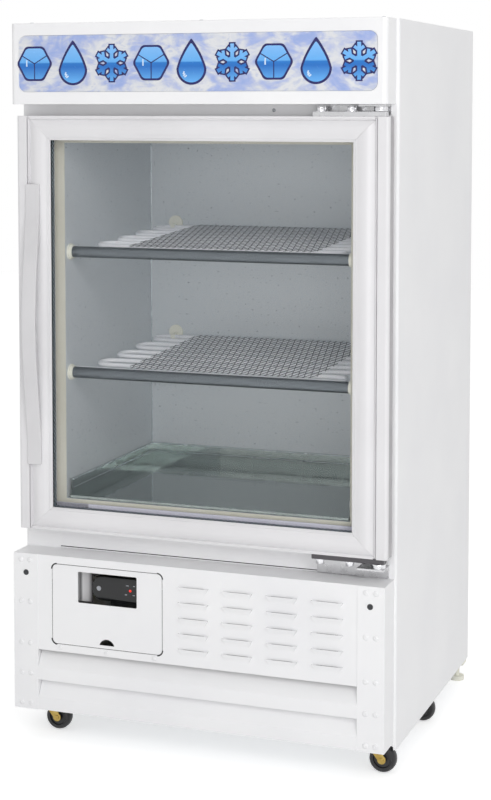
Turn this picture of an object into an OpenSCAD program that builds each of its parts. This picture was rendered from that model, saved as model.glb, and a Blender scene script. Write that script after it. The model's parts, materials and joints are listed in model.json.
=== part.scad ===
// Ice merchandiser freezer: an upright insulated cabinet with a glass door, a lit sign box
// above the door and a machine compartment behind a louvred kick panel below it.
// Millimetres, +X to the right as you face it, +Y to the back, +Z up. Depths in the values
// are measured from the body's front face. The origin is on the floor, at the middle of the
// whole object's width and depth.

/* [Cabinet] */
// Width of the body
body_w = 555; // [530:5:620]
// Depth of the body, front face to back face
body_d = 435; // [420:5:500]
// Height of the body's lower edge above the floor
ground_gap = 33; // [32:1:40]
// Thickness of the painted sheet steel
sheet_t = 1.2; // [1:0.1:1.6]
// Outer radius of the folded vertical edges
edge_r = 4; // [3:0.5:6]
// Width of the folded front return of each side panel
return_w = 55.5; // [46:0.5:60]
// Width of the folded back return of each side panel
back_return_w = 22; // [15:1:30]
// Thickness of the insulated side walls
side_wall_t = 65.5; // [58:0.5:75]
// Thickness of the insulated back wall
back_wall_t = 125; // [90:1:130]
// Thickness of the aluminium liner
liner_t = 1; // [0.8:0.1:1.5]

/* [Door] */
// Height of the door
door_h = 589; // [540:0.5:640]
// Inset of the door's edges from the body's sides
door_inset = 5; // [4:0.5:7]
// Distance of the door's front from the body's front face
door_proud = 30; // [29:0.5:32]
// Depth of the white door frame
frame_depth = 6; // [5.5:0.5:7]
// Radius of the door's outer vertical corners
door_corner_r = 5; // [3:0.5:5]
// Width of the plain rail down each side of the door
side_rail_w = 16; // [14:0.5:18]
// Width of the groove between a side rail and the rounded glass moulding
groove_w = 3.5; // [3:0.5:4]
// Depth of that groove
groove_depth = 4; // [3:0.5:4.5]
// Width of the rounded glass moulding down the sides
side_mould_w = 30.5; // [26:0.5:34]
// Width of the rounded glass moulding along the top
top_mould_w = 28.5; // [26:0.5:34]
// Width of the rounded glass moulding along the bottom
bottom_mould_w = 28; // [24:0.5:34]
// Width of the plain rim above the top moulding
top_rim_w = 5; // [4:0.5:8]
// Width of the plain rim below the bottom moulding
bottom_rim_w = 4; // [3:0.5:8]
// Height of the cabinet opening's bottom above the door's bottom
opening_inset_bottom = 41; // [38:0.5:46]
// Distance of the cabinet opening's top below the door's top
opening_inset_top = 38; // [30:0.5:42]
// Thickness of each glass pane
glass_t = 4; // [3:0.5:4]
// Distance between the two glass panes
glass_gap = 7; // [6:0.5:8]
// Thickness of the frame's lip at the edge of the glass
glass_lip_t = 1; // [0.8:0.1:1.5]
// Hold of the frame over each edge of the glass
glass_hold = 10; // [8:0.5:12]
// Width of the magnetic gasket
gasket_w = 14; // [12:0.5:16]
// Inset of the gasket from the door's sides
gasket_inset = 12; // [12:0.5:14]
// Inset of the gasket from the door's top and bottom
gasket_inset_z = 3; // [2:0.5:6]

/* [Handle] */
// Overall height of the bow handle
handle_h = 399; // [340:1:430]
// Width of the handle strap
handle_w = 21.5; // [18:0.5:26]
// Thickness of the handle strap
handle_t = 4; // [2.5:0.5:4.5]
// How far the bow stands out from its end pads
handle_bow = 15; // [12:1:16]
// Height of each flat end pad
handle_pad_h = 36; // [30:1:45]
// Distance of the handle's middle line from the door's edge
handle_inset = 26; // [22:0.5:28]
// Height of the handle's lower end above the door's bottom
handle_lift = 94; // [70:0.5:110]

/* [Sign box] */
// Height of the sign box
header_h = 112.7; // [105:0.1:130]
// Distance of the sign box's front from the body's front face
header_proud = 44.6; // [42:0.1:52]
// Inset of the sign box's ends from the body's sides
header_inset = 4.5; // [3:0.5:8]
// Radius of the sign box's front vertical corners
header_r = 7; // [4:0.5:12]
// Width of the sign panel
sign_w = 520; // [440:1:520]
// Height of the sign panel
sign_h = 78; // [60:1:84]
// Corner radius of the sign panel
sign_r = 11; // [6:0.5:16]
// Height of the gap between the door and the sign box
head_gap = 16; // [15:0.5:22]

/* [Kick panel] */
// Height of the kick panel
kick_h = 225; // [222:1:250]
// Height of its lower edge above the body's lower edge
kick_gap = 10.2; // [8:0.1:14]
// Distance of its front from the body's front face
kick_proud = 47; // [44:0.5:52]
// Inset of its ends from the body's sides
kick_inset = 3.5; // [3:0.5:6]
// Width of the strip down each end
post_w = 38; // [34:0.5:42]
// Height of the gap between the kick panel and the door
sill_gap = 31.8; // [30:0.1:40]
// Distance of the first louvre from the hatch
louvre_start = 24.4; // [20:0.1:26]
// Number of louvre columns
louvre_cols = 4; // [3:1:4]
// Number of louvre rows
louvre_rows = 5; // [3:1:5]
// Distance between louvre columns
louvre_pitch_x = 64.2; // [58:0.1:65]
// Distance between louvre rows
louvre_pitch_z = 21.8; // [18:0.1:22]
// Width of a louvre
louvre_w = 45; // [40:0.5:48]
// Width of a louvre at its lower edge
louvre_low_w = 33; // [28:0.5:38]
// Height of a louvre
louvre_h = 9.5; // [7:0.5:11]
// How far a louvre's lip stands out
louvre_out = 4; // [3:0.5:6]

/* [Control hatch] */
// Width of the hatch
hatch_w = 167.8; // [150:0.1:175]
// Height of the hatch
hatch_h = 113.8; // [100:0.1:116]
// Distance of the hatch from the middle of the kick panel
hatch_x = 129.4; // [128:0.1:134]
// Width of its window
window_w = 90; // [85:0.5:110]
// Height of its window
window_h = 44; // [38:0.5:50]
// Radius of its finger notch
notch_r = 12; // [10:0.5:14]
// Gap all round the hatch
hatch_gap = 0.8; // [0.7:0.1:1.2]

/* [Shelves] */
// Radius of the front bar of a shelf
bar_r = 8; // [7:0.5:9]
// Depth of the front bar behind the body's front face
bar_y = 16; // [15:0.5:20]
// Height of the lower bar above the cabinet opening's bottom
lower_bar_h = 180.5; // [150:0.5:190]
// Distance between the lower and the upper shelf
shelf_pitch = 173.5; // [150:0.5:190]
// Outer radius of the evaporator tube
tube_r = 3; // [3:0.5:4.5]
// Straight runs in one evaporator shelf, an odd number
tube_runs = 9; // [5:2:9]
// Gap between the last run's middle and the back wall
last_run_gap = 11.5; // [9:0.5:20]
// Height of the tube's first run over the middle of the bar
tube_lift = 4.5; // [4:0.5:7]
// Slope of the evaporator shelves, which rise to the back
shelf_slope = 2.9; // [2:0.1:4]
// Distance of the wall clips from the side walls
clip_inset = 43; // [36:1:60]
// Gap between the tube's bends and the side walls
bend_gap = 16.5; // [14:0.5:24]
// Width of a mesh mat
mat_w = 281; // [240:1:300]
// Thickness of a mesh mat
mat_t = 2; // [1.5:0.5:3]
// Gap between the front bar and a mat's front edge
mat_gap = 1; // [0.5:0.5:6]
// Gap between a mat's back edge and the back wall
mat_back_gap = 12; // [8:1:24]
// Offset of the mats to the right
mat_x = 12; // [0:1:20]
// Height of the bottom tray
tray_h = 26; // [20:1:36]

/* [Hinges] */
// Distance of the hinge line from the door's edge
hinge_inset = 14.5; // [13:0.5:14.5]
// Distance of the hinge line from the door's front
hinge_set = 10; // [9.5:0.5:10]
// Radius of the hinge pins
pin_r = 4; // [3:0.5:4]
// Thickness of the hinge brackets
bracket_t = 3; // [2.5:0.5:3.5]
// Length of the hinge brackets
bracket_len = 101; // [85:1:110]

/* [Casters] */
// Radius of the wheels
wheel_r = 19; // [17:0.5:20]
// Width of the wheels
wheel_w = 16; // [14:0.5:18]
// Trail of the wheels behind their swivel
trail = 15; // [12:0.5:16]
// Radius of the wheel axles
axle_r = 3; // [2.5:0.5:4]
// Radius of the swivel stems
stem_r = 5; // [4:0.5:6]
// Depth of the front casters behind the body's front face
front_caster_y = 6; // [0:1:12]
// Depth of the back casters behind the body's front face
back_caster_y = 220; // [200:5:240]

/* [Machine] */
// Space between the compressor and the back
back_space = 75; // [60:1:80]
// Radius of the compressor pot
compressor_r = 60; // [50:1:65]
// Height of the compressor pot
compressor_h = 150; // [120:1:165]
// Width of the condenser
condenser_w = 190; // [160:1:200]
// Height of the condenser
condenser_h = 168; // [150:1:180]
// Depth of the condenser
condenser_d = 40; // [30:1:50]
// Radius of the fan
fan_r = 42; // [36:1:44]
// Width of the controller's face
controller_w = 77; // [72:0.5:80]
// Height of the controller's face
controller_h = 34; // [30:0.5:36]

/* [Hidden] */
$fn = 48;

// Clearances shared by everything that moves or fits
run_fit = 0.05;
loose_fit = 0.5;
slip = 0.3;

// Widths and heights of the main shells
half_w = body_w / 2;
kick_z = ground_gap + kick_gap;
kick_top = kick_z + kick_h;
door_z = kick_top + sill_gap;
door_top = door_z + door_h;
header_z = door_top + head_gap;
body_top = header_z + header_h;
door_half = half_w - door_inset;
kick_half = half_w - kick_inset;
header_half = half_w - header_inset;
post_x = kick_half - post_w;

// Door: front plane, moulding corners, glass and gasket planes
door_y = -door_proud;
frame_back_y = door_y + frame_depth;
mould_x = door_half - side_rail_w - groove_w;
sight_x = mould_x - side_mould_w;
mould_z0 = door_z + bottom_rim_w;
mould_z1 = door_top - top_rim_w;
sight_z0 = mould_z0 + bottom_mould_w;
sight_z1 = mould_z1 - top_mould_w;
glass_x = sight_x + glass_hold;
glass_z0 = sight_z0 - glass_hold;
glass_z1 = sight_z1 + glass_hold;
outer_glass_y = frame_back_y;
inner_glass_y = outer_glass_y + glass_t + glass_gap;
glass_back_y = inner_glass_y + glass_t;
carrier_back_y = -7;
gasket_back_y = -0.4;
// The rims stand a little behind the door's front, and the moulding runs into its neighbours
rim_set = 1;
seam = 0.5;
rail_x = mould_x - seam;

// Cabinet opening and the insulated shell
opening_z0 = door_z + opening_inset_bottom;
opening_z1 = door_top - opening_inset_top;
liner_x = half_w - side_wall_t;
liner_y = body_d - back_wall_t;
band_x = half_w - return_w;
inner_x = half_w - sheet_t;

// Casters and the base pan
head_t = 5;
head_r = 14;
head_clear = 1.7;
caster_plate_t = 3;
caster_h = 2 * wheel_r + head_clear + head_t + slip;
pan_z = caster_h + caster_plate_t;
pan_t = 1.5;
pan_top = pan_z + pan_t;
caster_x = half_w - trail - wheel_r;

// Shelves
lower_bar_z = opening_z0 + lower_bar_h;
shelf_z = [lower_bar_z, lower_bar_z + shelf_pitch];
// The coil's first run lies over the back of the bar
first_run_y = bar_y + bar_r + tube_r;
// The runs are spaced to a tenth of a millimetre
shelf_depth = (liner_y - last_run_gap - first_run_y) / cos(shelf_slope);
tube_pitch = round(10 * shelf_depth / (tube_runs - 1)) / 10;
last_run_y = first_run_y + (tube_runs - 1) * tube_pitch * cos(shelf_slope);
last_run_lift = tube_lift + (tube_runs - 1) * tube_pitch * sin(shelf_slope);
clip_x = liner_x - clip_inset;
bend_x = liner_x - bend_gap - tube_r - tube_pitch / 2;
line_x = liner_x + 18;

// Hinge line
hinge_x = door_half - hinge_inset;
hinge_y = door_y + hinge_set;
door_plate_t = 6.5;
bush_r = pin_r + 2;
bush_depth = 10;
bracket_x1 = hinge_x + 9;
bracket_x0 = bracket_x1 - bracket_len;
collar_r = 9;

// Control hatch
hatch_z1 = kick_top - 11.9;
hatch_z0 = hatch_z1 - hatch_h;
hatch_cx = -hatch_x;
hatch_pin_r = 1.5;
hatch_axis_drop = 12;
panel_y = -kick_proud + sheet_t;
hatch_pin_y = panel_y + sheet_t + hatch_pin_r + loose_fit;
window_cx = hatch_cx + 0.9;
window_z = hatch_z1 - 29.8;

// Machine compartment
fan_x = hatch_cx + hatch_w / 2 + 20 + condenser_w / 2;
condenser_y = 30;
shroud_y = condenser_y + condenser_d + 1;
fan_z = pan_top + condenser_h / 2;
compressor_x = fan_x + 35;
compressor_y = body_d - back_space - compressor_r;
controller_y = panel_y + 12;
controller_cx = window_cx + 10;
controller_cz = window_z - 2;
face_t = 3;
face_lip = 3;
gland_r = 11;
gland_proud = 5;

// The whole object's depth, whose middle is the origin
front_reach = max(door_proud + handle_t + handle_bow, louvre_out - panel_y);
mid_y = (body_d + gland_proud - front_reach) / 2;

// ---- shared shapes -------------------------------------------------------

// Moves depths measured from the body's front face to the origin at the middle
module place() translate([0, -mid_y, 0]) children();

// Box between two corners, given as ranges along each axis
module slab(x, y, z)
    translate([x[0], y[0], z[0]]) cube([x[1] - x[0], y[1] - y[0], z[1] - z[0]]);

module rod_x(x, y, z, r)
    translate([x[0], y, z]) rotate([0, 90, 0]) cylinder(h = x[1] - x[0], r = r);

module rod_y(x, y, z, r)
    translate([x, y[0], z]) rotate([-90, 0, 0]) cylinder(h = y[1] - y[0], r = r);

module rod_z(x, y, z, r)
    translate([x, y, z[0]]) cylinder(h = z[1] - z[0], r = r);

// Shape drawn in X and Z, given a depth range along Y
module face_plate(y)
    translate([0, y[1], 0]) rotate([90, 0, 0]) linear_extrude(height = y[1] - y[0]) children();

// Shape drawn in Y and Z, given a range along X
module along_x(x)
    translate([x[0], 0, 0]) rotate([90, 0, 90]) linear_extrude(height = x[1] - x[0]) children();

// Rectangle with rounded corners between two corners
module round_rect(x, z, r) {
    translate([x[0], z[0] + r]) square([x[1] - x[0], z[1] - z[0] - 2 * r]);
    translate([x[0] + r, z[0]]) square([x[1] - x[0] - 2 * r, z[1] - z[0]]);
    for (cx = [x[0] + r, x[1] - r], cz = [z[0] + r, z[1] - r])
        translate([cx, cz]) circle(r);
}

module both_sides() {
    children();
    mirror([1, 0, 0]) children();
}

// Quarter of a bent sheet: outer radius r, filling the corner at the origin towards (sx, sy)
module fold(r, t, sx, sy)
    intersection() {
        difference() {
            circle(r);
            if (r > t) circle(r - t);
        }
        translate([sx > 0 ? 0 : -r, sy > 0 ? 0 : -r]) square(r);
    }

// ---- cabinet -------------------------------------------------------------

// Right-hand side panel: one sheet folded round the front and the back edge
module side_sheet() {
    difference() {
        translate([0, 0, ground_gap]) linear_extrude(height = body_top - ground_gap) {
            translate([inner_x, edge_r]) square([sheet_t, body_d - 2 * edge_r]);
            translate([half_w - edge_r, edge_r]) fold(edge_r, sheet_t, 1, -1);
            translate([half_w - edge_r, body_d - edge_r]) fold(edge_r, sheet_t, 1, 1);
            translate([band_x, 0]) square([return_w - edge_r, sheet_t]);
            translate([half_w - back_return_w, body_d - sheet_t])
                square([back_return_w - edge_r, sheet_t]);
        }
        slab([band_x - 1, half_w - edge_r], [-1, sheet_t + 1], [0, kick_top - 8]);
    }
}

module side_panel_right() color("whitesmoke") place() side_sheet();

module side_panel_left() color("whitesmoke") place() mirror([1, 0, 0]) side_sheet();

// Room for the rounded edges of the side panels, at all four corners
module corner_notches()
    both_sides() for (y = [0, body_d - edge_r])
        slab([half_w - edge_r, half_w], [y, y + edge_r], [kick_top - 1, body_top + 1]);

module top_panel() {
    color("whitesmoke") place() difference() {
        slab([-inner_x, inner_x], [sheet_t, body_d - sheet_t], [body_top - sheet_t, body_top]);
        corner_notches();
    }
}

module rear_panel() {
    color("whitesmoke") place()
        slab([back_return_w - half_w, half_w - back_return_w],
             [body_d - sheet_t, body_d], [kick_top, body_top]);
}

// Back cover of the machine compartment, with rows of air slots and the cord's hole
module rear_grille() {
    slot_rows = 6;
    slot_cols = 4;
    slot_pitch_z = 22;
    slot_pitch_x = 84;
    slot_w = 66;
    slot_h = 7;
    color("whitesmoke") place() difference() {
        slab([back_return_w - half_w, half_w - back_return_w],
             [body_d - sheet_t, body_d], [pan_top, kick_top]);
        face_plate([body_d - 10, body_d + 10])
            for (i = [0 : slot_cols - 1], j = [0 : slot_rows - 1])
                translate([(i - (slot_cols - 1) / 2) * slot_pitch_x,
                           pan_top + 70 + j * slot_pitch_z])
                    round_rect([-slot_w / 2, slot_w / 2], [-slot_h / 2, slot_h / 2],
                               slot_h / 2 - 0.1);
        rod_y(-half_w + 90, [body_d - 10, body_d + 10], pan_top + 26, gland_r - 3);
    }
}

// Cabinet space that the liner fills, grown by a margin
module liner_block(grow)
    slab([-liner_x - grow, liner_x + grow], [-1, liner_y + grow],
         [opening_z0 - grow, opening_z1 + grow]);

module insulation() {
    color("khaki") place() difference() {
        slab([-inner_x, inner_x], [sheet_t, body_d - sheet_t], [kick_top, body_top - sheet_t]);
        liner_block(liner_t);
        corner_notches();
        line_shapes();
        rod_z(0, drain_y, [kick_top - 1, opening_z0], drain_r);
    }
}

drain_r = 8;
drain_y = liner_y - 60;

module liner() {
    color("lightsteelblue") place() difference() {
        slab([-liner_x - liner_t, liner_x + liner_t], [sheet_t, liner_y + liner_t],
             [opening_z0 - liner_t, opening_z1 + liner_t]);
        liner_block(0);
        rod_z(0, drain_y, [opening_z0 - 10, opening_z0 + 10], drain_r - 2);
    }
}

strip_x = door_half - gasket_inset - gasket_w - 1;
strip_z0 = door_z + gasket_inset_z + gasket_w + 1;
strip_z1 = door_top - gasket_inset_z - gasket_w - 1;

// Cream plastic frame that covers the joint between the liner and the front face
module breaker_strip() {
    color("cornsilk") place() difference() {
        slab([-strip_x, strip_x], [-sheet_t, 0], [strip_z0, strip_z1]);
        slab([-liner_x, liner_x], [-10, 10], [opening_z0, opening_z1]);
    }
}

// Front sheets above and below the cabinet opening
module front_bands() {
    color("whitesmoke") place() {
        slab([-band_x, band_x], [0, sheet_t], [opening_z1, body_top]);
        slab([-band_x, band_x], [0, sheet_t], [kick_top + 3, opening_z0]);
    }
}

// ---- sign box ------------------------------------------------------------

sign_z = header_z + header_h / 2;

module header_outline(x, y0, r) {
    translate([-x, y0 + r]) square([2 * x, -y0 - r]);
    translate([r - x, y0]) square([2 * (x - r), r]);
    for (cx = [r - x, x - r]) translate([cx, y0 + r]) circle(r);
}

// Folded box, open at the back, with the sign's window in its front
module header_shell() {
    inside_r = header_r - sheet_t;
    color("white") place() difference() {
        translate([0, 0, header_z]) linear_extrude(height = header_h)
            header_outline(header_half, -header_proud, header_r);
        translate([0, 0, header_z + sheet_t]) linear_extrude(height = header_h - 2 * sheet_t)
            header_outline(header_half - sheet_t, sheet_t - header_proud, inside_r);
        face_plate([-header_proud - 5, 10 - header_proud])
            round_rect([-sign_w / 2, sign_w / 2], [sign_z - sign_h / 2, sign_z + sign_h / 2],
                       sign_r);
    }
}

// Translucent panel: its front fills the window, its flange lies behind the window's edge
module sign_panel() {
    flange = 5;
    flange_t = 1.5;
    proud = 0.4;
    color("lavender") place() {
        face_plate([-header_proud - proud, sheet_t - header_proud])
            round_rect([slip - sign_w / 2, sign_w / 2 - slip],
                       [sign_z - sign_h / 2 + slip, sign_z + sign_h / 2 - slip], sign_r - slip);
        face_plate([sheet_t - header_proud, sheet_t + flange_t - header_proud])
            round_rect([-sign_w / 2 - flange, sign_w / 2 + flange],
                       [sign_z - sign_h / 2 - flange, sign_z + sign_h / 2 + flange],
                       sign_r + flange);
    }
}

// Lamp tube behind the sign, in two holders on the body's front face
module sign_lamp() {
    lamp_r = 8;
    lamp_y = -2 * lamp_r;
    holder_w = 12;
    holder_half = 14;
    end_space = 40;
    lamp_half = header_half - end_space;
    color("ivory") place() {
        rod_x([-lamp_half, lamp_half], lamp_y, sign_z, lamp_r);
        both_sides() slab([lamp_half, lamp_half + holder_w], [lamp_y - lamp_r - 2, 0],
                          [sign_z - holder_half, sign_z + holder_half]);
    }
}

// ---- kick panel ----------------------------------------------------------

module corner_posts() {
    color("whitesmoke") place() both_sides() difference() {
        union() {
            slab([post_x, kick_half], [-kick_proud, sheet_t - kick_proud], [kick_z, kick_top]);
            slab([kick_half - sheet_t, kick_half], [-kick_proud, 0], [kick_z, kick_top]);
        }
        rod_y(plug_x, [-kick_proud - 5, 5 - kick_proud], plug_z, plug_r);
    }
}

plug_r = 3.5;
plug_x = kick_half - 20;
plug_z = kick_top - 27.2;

module hole_plugs() {
    color("dimgray") place() both_sides() {
        rod_y(plug_x, [-kick_proud - 0.6, -kick_proud], plug_z, plug_r + 0.5);
        rod_y(plug_x, [-kick_proud, sheet_t - kick_proud], plug_z, plug_r);
    }
}

vent_z0 = kick_z + 87.8;
louvre_x0 = hatch_cx + hatch_w / 2 + louvre_start;
louvre_z1 = kick_top - 26;

louvre_t = 1.2;

// Slot through the sheet behind a louvre, whose upper edge is at z
module louvre_slot(x, z) {
    middle = x + louvre_w / 2;
    half = louvre_low_w / 2 - louvre_t;
    slab([middle - half, middle + half], [panel_y - 1, panel_y + sheet_t + 1],
         [z - louvre_h / 2, z - 0.8]);
}

// Wedge that tapers in and back towards its lower edge, kept a wall's thickness inside
module louvre_wedge(x, z, wall, y) {
    taper = (louvre_w - louvre_low_w) / 2;
    foot = z - louvre_h + 2 * wall;
    intersection() {
        along_x([x, x + louvre_w])
            polygon([[y, z + wall], [y, foot], [panel_y, foot],
                     [panel_y - louvre_out + wall, z - 1], [panel_y - louvre_out + wall, z + wall]]);
        face_plate([panel_y - 10, panel_y + 10])
            polygon([[x + wall, z + wall], [x + louvre_w - wall, z + wall],
                     [x + louvre_w - wall, z], [x + louvre_w - taper - wall, z - louvre_h],
                     [x + taper + wall, z - louvre_h], [x + wall, z]]);
    }
}

// Louvre: a scoop pressed out of the sheet, open along its upper edge
module louvre_hood(x, z)
    difference() {
        louvre_wedge(x, z, 0, panel_y + sheet_t / 4);
        louvre_wedge(x, z, louvre_t, panel_y + sheet_t / 2);
    }

// Louvred sheet with the hatch opening, its top ledge and the hatch's two pivot pins
module vent_panel() {
    sheet_half = kick_half - sheet_t;
    tab_x = hatch_w / 2 + hatch_gap;
    color("whitesmoke") place() {
        difference() {
            slab([-sheet_half, sheet_half], [panel_y, panel_y + sheet_t], [vent_z0, kick_top]);
            face_plate([panel_y - 5, panel_y + 5])
                round_rect([hatch_cx - tab_x, hatch_cx + tab_x],
                           [hatch_z0 - hatch_gap, hatch_z1 + hatch_gap], 7 + hatch_gap);
            for (i = [0 : louvre_cols - 1], j = [0 : louvre_rows - 1])
                louvre_slot(louvre_x0 + i * louvre_pitch_x, louvre_z1 - j * louvre_pitch_z);
        }
        for (i = [0 : louvre_cols - 1], j = [0 : louvre_rows - 1])
            louvre_hood(louvre_x0 + i * louvre_pitch_x, louvre_z1 - j * louvre_pitch_z);
        slab([-sheet_half, sheet_half], [panel_y, 0], [kick_top - sheet_t, kick_top]);
        for (side = [-1, 1]) {
            tab = hatch_cx + side * (tab_x + 2);
            slab([tab - 1, tab + 1], [panel_y, panel_y + 8],
                 [hatch_z1 - hatch_axis_drop - 4, hatch_z1 - hatch_axis_drop + 4]);
            rod_x(side > 0 ? [tab - 8, tab] : [tab, tab + 8], hatch_pin_y,
                  hatch_z1 - hatch_axis_drop, hatch_pin_r);
        }
    }
}

// One slat: a sheet that leans out from its recessed top to a crease, then drops
module slat(top, crease, bottom, recess) {
    y = -kick_proud;
    along_x([-post_x, post_x])
        polygon([[y + recess, top], [y, crease], [y, bottom], [y + recess, bottom],
                 [y + recess, bottom + sheet_t], [y + sheet_t, bottom + sheet_t],
                 [y + sheet_t, crease - 0.4], [y + recess, top - 2]]);
}

module kick_slats() {
    lean = 22;
    recess = 13;
    gap = 3;
    slat_h = 40.5;
    upper = vent_z0 - gap;
    lower = upper - slat_h - gap;
    color("whitesmoke") place() {
        slat(upper, upper - lean, upper - slat_h, recess);
        slat(lower, lower - lean, kick_z + 0.8, recess);
    }
}

rivet_r = 4;

module dome(r, h)
    rotate([90, 0, 0]) intersection() {
        translate([0, 0, h - (r * r + h * h) / (2 * h)]) sphere((r * r + h * h) / (2 * h));
        translate([-r, -r, 0]) cube([2 * r, 2 * r, 2 * h]);
    }

// Domed rivets in pairs down both posts, and three below the hatch
module rivets() {
    edge = 9;
    step = 60;
    low_step = 43.5;
    heads = [kick_top - edge, kick_top - edge - step, kick_top - edge - 2 * step,
             kick_z + edge + low_step, kick_z + edge];
    color("white") place() {
        both_sides() for (z = heads, x = [kick_half - 12, kick_half - 26])
            translate([x, -kick_proud, z]) dome(rivet_r, 1.6);
        for (i = [-1 : 1])
            translate([hatch_cx + i * (hatch_w / 2 - 12), panel_y, hatch_z0 - 5.8])
                dome(rivet_r - 0.5, 1.4);
    }
}

// ---- base ----------------------------------------------------------------

module base_pan() {
    tongue_x = kick_half - sheet_t - 1;
    color("lightgray") place() {
        slab([-inner_x, inner_x], [edge_r, body_d - edge_r], [pan_z, pan_top]);
        slab([-tongue_x, tongue_x], [6 - kick_proud, edge_r + 1], [pan_z, pan_top]);
    }
}

foot_half = 12;
foot_x = inner_x - foot_half - 1;
foot_y = body_d - foot_half - 4;

// Back feet: a white block under the pan, a threaded stem and a rubber pad
module rear_feet() {
    block_h = 22;
    color("white") place() both_sides() {
        slab([foot_x - foot_half, foot_x + foot_half], [foot_y - foot_half, foot_y + foot_half],
             [pan_z - block_h, pan_z]);
        rod_z(foot_x, foot_y, [2, pan_z - block_h + 2], 4);
        rod_z(foot_x, foot_y, [0, 7], 11);
    }
}

module caster_plate(x, y) {
    half = 24;
    difference() {
        slab([x - half, x + half], [y - half, y + half], [caster_h, pan_z]);
        rod_z(x, y, [caster_h - 1, pan_z + 1], stem_r + run_fit);
    }
}

module caster_plates() {
    color("silver") place() both_sides() {
        caster_plate(caster_x, front_caster_y);
        caster_plate(caster_x, back_caster_y);
    }
}

// Fork with its stem and axle, trailing towards +X
module fork(x, y) {
    leg_in = wheel_w / 2 + 0.6;
    leg_out = leg_in + 2;
    head_z = caster_h - slip - head_t;
    color("darkgray") place() translate([x, y, 0]) {
        rod_z(0, 0, [head_z, head_z + head_t], head_r);
        rod_z(0, 0, [head_z, pan_z - slip], stem_r);
        for (y_leg = [[-leg_out, -leg_in], [leg_in, leg_out]])
            face_plate(y_leg) {
                polygon([[-9, head_z + 2], [9, head_z + 2], [trail + 6, wheel_r],
                         [trail - 6, wheel_r]]);
                translate([trail, wheel_r]) circle(6);
            }
        rod_y(trail, [-leg_out - 1, leg_out + 1], wheel_r, axle_r);
    }
}

module wheel(x, y) {
    crown = 1.5;
    w = wheel_w / 2;
    color("#1b1b1d") place() translate([x + trail, y, wheel_r]) rotate([90, 0, 0])
        rotate_extrude($fn = 64)
            polygon([[axle_r + run_fit, -w], [wheel_r - 6, -w], [wheel_r - 5, -w + 1.5],
                     [wheel_r - 3, -w + 1.5], [wheel_r - crown, 1 - w], [wheel_r, 4 - w],
                     [wheel_r, w - 4], [wheel_r - crown, w - 1], [wheel_r - 3, w - 1.5],
                     [wheel_r - 5, w - 1.5], [wheel_r - 6, w], [axle_r + run_fit, w]]);
}

module fork_front_left() fork(-caster_x, front_caster_y);
module fork_front_right() fork(caster_x, front_caster_y);
module fork_back_left() fork(-caster_x, back_caster_y);
module fork_back_right() fork(caster_x, back_caster_y);
module wheel_front_left() wheel(-caster_x, front_caster_y);
module wheel_front_right() wheel(caster_x, front_caster_y);
module wheel_back_left() wheel(-caster_x, back_caster_y);
module wheel_back_right() wheel(caster_x, back_caster_y);

// ---- hinges --------------------------------------------------------------

tongue_x = hinge_x - 28;
bracket_y = hinge_y - 10;
leaf_t = 2.5;
lower_leaf_z = door_z - 13;
upper_leaf_z = header_z - bracket_t;

// Lower bracket: leaf on the body, tongue under the door's corner, collar and upright pin
module hinge_bracket_lower() {
    color("silver") place() {
        slab([bracket_x0, bracket_x1], [-leaf_t, 0], [kick_top + 1, lower_leaf_z]);
        slab([tongue_x, bracket_x1], [bracket_y, 0], [lower_leaf_z - bracket_t, lower_leaf_z]);
        rod_z(hinge_x, hinge_y, [lower_leaf_z, door_z - door_plate_t - loose_fit], collar_r);
        rod_z(hinge_x, hinge_y, [lower_leaf_z, door_z + bush_depth - 1], pin_r);
    }
}

module hinge_bracket_upper() {
    color("silver") place() {
        slab([bracket_x0, bracket_x1], [-leaf_t, 0], [door_top + 2, header_z]);
        slab([tongue_x, bracket_x1], [bracket_y, 0], [upper_leaf_z, header_z]);
        rod_z(hinge_x, hinge_y, [door_top + door_plate_t + loose_fit, header_z], collar_r);
        rod_z(hinge_x, hinge_y, [door_top - bush_depth + 1, header_z], pin_r);
    }
}

// Plate on one end of the door, with the bush that turns on the pin and its two bolt heads
module door_hinge_plate(z, bush_z, bolt_z) {
    plate_y = [hinge_y - 8, hinge_y + 6];
    bolt_r = 5;
    difference() {
        union() {
            slab([bracket_x0, bracket_x1], plate_y, z);
            rod_z(hinge_x, hinge_y, bush_z, bush_r);
            for (x = [bracket_x0 + 10, bracket_x0 + 52])
                rod_z(x, hinge_y, bolt_z, bolt_r);
        }
        rod_z(hinge_x, hinge_y, [bush_z[0] - 1, bush_z[1] + 1], pin_r + run_fit);
    }
}

module door_hinge_plates() {
    bolt_h = 7;
    low = door_z - door_plate_t;
    high = door_top + door_plate_t;
    color("dimgray") place() {
        door_hinge_plate([low, door_z], [low, door_z + bush_depth], [low - bolt_h, door_z]);
        door_hinge_plate([door_top, high], [door_top - bush_depth, high],
                         [door_top, high + bolt_h]);
    }
}

// Screw heads on the sign box's top and on the front band
module screws() {
    head_h = 2.4;
    top_inset = 20;
    band_step = 120;
    color("silver") place() {
        for (x = [top_inset - half_w, 0, half_w - top_inset])
            translate([x, -8, body_top]) cylinder(h = head_h, r1 = 4, r2 = 2.5);
        translate([band_x - band_step, 0, door_top + 8]) dome(2.5, 1.2);
    }
}

// ---- door ----------------------------------------------------------------

// Height of the rounded moulding at a share s of its width from its outside: it starts at the
// groove's floor, swells to the frame's front and falls to the lip at the edge of the glass
MOULD_CREST = 0.4;
function mould_rise(s) = s < MOULD_CREST
    ? frame_depth - groove_depth * (1 - sin(90 * s / MOULD_CREST))
    : glass_lip_t + (frame_depth - glass_lip_t) * cos(90 * (s - MOULD_CREST) / (1 - MOULD_CREST));

MOULD_STEPS = 10;

// Moulding across its width w: s = 0 is the outer edge, at w from the sight edge
module mould_section(w)
    polygon(concat(
        [for (i = [0 : MOULD_STEPS]) [-w * i / MOULD_STEPS, mould_rise(i / MOULD_STEPS)]],
        [[-w, 0], [0, 0]]));

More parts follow.
